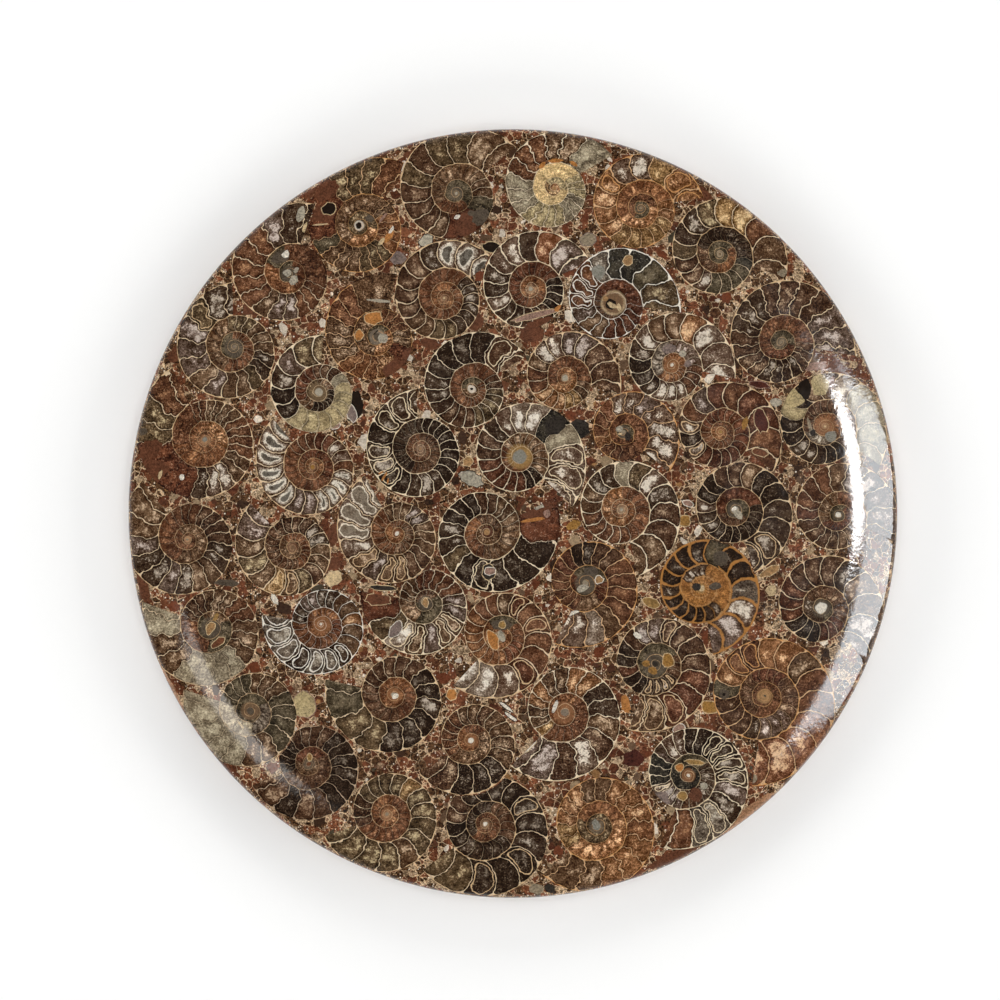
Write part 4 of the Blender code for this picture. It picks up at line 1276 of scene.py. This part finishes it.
def placed_chips(entries, x=0.0, y=0.0):
    """A chip for each entry, over a slightly larger one where the entry names an outline."""
    chips = []
    for entry in filter(None, entries.split(",")):
        words = entry.split()
        dx, dy, length, width, angle = map(float, words[:5])
        name, *outline = words[5:]
        layers = [(OUTLINE_WIDTH, tint) for tint in outline] + [(0.0, name)]
        for extra, tint in layers:
            draw = random.Random(int(1000 * (abs(dx) + abs(dy))))
            ground = chip_outline(draw, x + dx, y + dy, length + extra, width + extra, angle,
                                  8 + int(max(length, width)), 0.16)
            chips.append(Chip(ground, named_tint(tint), 1.0))
    return chips


# The breccia's small chips: their colours and how common each is, how many places are tried and
# how far out, their least size and how far they range above it, and how near to each other they
# may lie.
CHIP_TINTS = [("623420", 5), ("6e432c", 3), ("4e2f20", 4), ("38261a", 4), ("5a4432", 3),
              ("927b5e", 3), ("c9bba8", 3), ("85603a", 1), ("443c2e", 1)]
CHIP_TRIES = 5200
CHIP_REACH = SHOULDER_END - 4
LEAST_CHIP = 1.3
CHIP_RANGE = 4.2
CHIP_SPACING = 0.55
CHIP_SEED = 11


def scattered_chips():
    """Small angular chips all over the breccia, and then the larger ones that were placed."""
    draw = random.Random(CHIP_SEED)
    tints = [tint for tint, weight in CHIP_TINTS for _ in range(weight)]
    chips = []
    placed = []
    for _ in range(CHIP_TRIES):
        size = LEAST_CHIP + CHIP_RANGE * draw.random() ** 2.2
        radius = CHIP_REACH * draw.random() ** 0.5
        x, y = radius * direction(draw.uniform(0, 360))
        if noise_value(Vector((x * 0.05, y * 0.05, 3.0))) < draw.uniform(-0.5, 0.3):
            continue
        if any(hypot(x - px, y - py) < (size + other) * CHIP_SPACING for px, py, other in placed):
            continue
        placed.append((x, y, size))
        outline = chip_outline(draw, x, y, size, size * draw.uniform(0.5, 0.95),
                               draw.uniform(0, 180), draw.choice((5, 6, 7)), 0.25)
        tone = draw.uniform(0.75, 1.25)
        tint = tuple(share * tone for share in colour(draw.choice(tints)))
        chips.append(Chip(outline, tint, 0.8))
    return chips + placed_chips(RIM_BANDS) + placed_chips(FRAGMENTS)


# ------------------------ the scene round it

FLOOR_REACH = 6.0

# Each light: its bearing and angle from the vertical, distance, width, length, power and tint,
# in metres and watts. The soft boxes light the surfaces, and the windows are only seen in the
# polish.
Light = namedtuple("Light", "name bearing from_vertical distance across along power tint",
                   defaults=((1, 1, 1),))
SOFT_BOXES = [
    Light("left_softbox", 175, 66, 1.7, 1.5, 0.6, 12.5),
    Light("top_softbox", 88, 66, 1.7, 1.5, 0.6, 12.5),
    Light("bottom_softbox", 272, 66, 1.7, 1.5, 0.6, 12),
    Light("ceiling", 0, 0, 1.7, 1.4, 1.4, 12),
    Light("right_softbox", 0, 66, 1.7, 1.5, 0.6, 12.5),
]
WINDOWS = [
    Light("window", 6, 25, 1.3, 0.24, 0.2, 7),
    Light("window_wall", -8, 51, 1.3, 0.9, 0.95, 34, (0.88, 0.95, 1.0)),
    Light("far_window", 216, 28, 1.3, 0.32, 0.3, 1.5, (1.0, 0.97, 0.92)),
]


def hang(light, on_surfaces, in_polish):
    lamp = bpy.data.lights.new(light.name, "AREA")
    lamp.shape = "RECTANGLE"
    lamp.size = light.across
    lamp.size_y = light.along
    lamp.energy = light.power
    lamp.color = light.tint
    thing = bpy.data.objects.new(light.name, lamp)
    thing.visible_diffuse = on_surfaces
    thing.visible_glossy = in_polish
    tilt = radians(light.from_vertical)
    thing.location = (*(direction(light.bearing) * sin(tilt) * light.distance),
                      cos(tilt) * light.distance)
    thing.rotation_euler = (-thing.location).to_track_quat("-Z", "Y").to_euler()
    bpy.context.scene.collection.objects.link(thing)


def add_paper():
    """The pale floor under the plate."""
    mesh = bpy.data.meshes.new("floor")
    corners = [(-1, -1), (1, -1), (1, 1), (-1, 1)]
    mesh.from_pydata([(x * FLOOR_REACH, y * FLOOR_REACH, 0) for x, y in corners],
                     [], [(0, 1, 2, 3)])
    floor = bpy.data.objects.new("floor", mesh)
    bpy.context.scene.collection.objects.link(floor)
    paper = bpy.data.materials.new("pale_floor")
    paper.use_nodes = True
    shader = paper.node_tree.nodes["Principled BSDF"]
    shader.inputs["Base Color"].default_value = (0.98, 0.98, 0.975, 1)
    shader.inputs["Roughness"].default_value = 0.9
    shader.inputs["Specular IOR Level"].default_value = 0.1
    mesh.materials.append(paper)


def add_room():
    """A pale room, darker overhead."""
    world = bpy.data.worlds.new("room")
    bpy.context.scene.world = world
    world.use_nodes = True
    tree = world.node_tree
    background = tree.nodes["Background"]
    _, _, upward = components(made(tree, "ShaderNodeTexCoord", {}, {}, "Generated"))
    shade = mixed((0.8, 0.78, 0.75), (0.1, 0.1, 0.1), rise(0.2, 0.55, upward))
    plug(shade, background.inputs["Color"])
    background.inputs["Strength"].default_value = 0.42


# The picture's width at this level, how far above it the camera is, in metres, and how far
# aside it looks.
FACE_SPAN = 324.9
FACE_LEVEL = 0.01
VIEW_DISTANCE = 0.75
VIEW_SHIFT = (-4.2, 4.4)
SENSOR_WIDTH = 36


def add_camera():
    camera = bpy.data.cameras.new("camera")
    camera.sensor_width = SENSOR_WIDTH
    camera.lens = SENSOR_WIDTH * VIEW_DISTANCE / (FACE_SPAN * MM)
    thing = bpy.data.objects.new("camera", camera)
    thing.location = (VIEW_SHIFT[0] * MM, VIEW_SHIFT[1] * MM, VIEW_DISTANCE + FACE_LEVEL)
    bpy.context.scene.collection.objects.link(thing)
    bpy.context.scene.camera = thing


# ------------------------ the whole

def dress():
    outlines = shell_outlines()
    coil = coil_group()
    filling = filling_group()
    for shell, outline in outlines:
        look = LOOKS[shell.number]
        chips = placed_chips(LUMPS.get(shell.number, ""), shell.x, shell.y)
        material = fossil_material(shell, look, coil, filling)
        piece = ammonite_piece(shell, outline, chips, material)
        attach(piece, "root")
        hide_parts("ammonite_" + shell.number)
        "fossil_" + look.family
    slab = breccia_piece(outlines, scattered_chips(), breccia_material())
    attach(slab, "root")
    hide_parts("breccia_plate")


add_camera()
add_paper()
add_room()
for light in SOFT_BOXES:
    hang(light, on_surfaces=True, in_polish=False)
for light in WINDOWS:
    hang(light, on_surfaces=False, in_polish=True)
dress()
bpy.context.scene.view_settings.view_transform = "Standard"

bpy.context.view_layer.update()
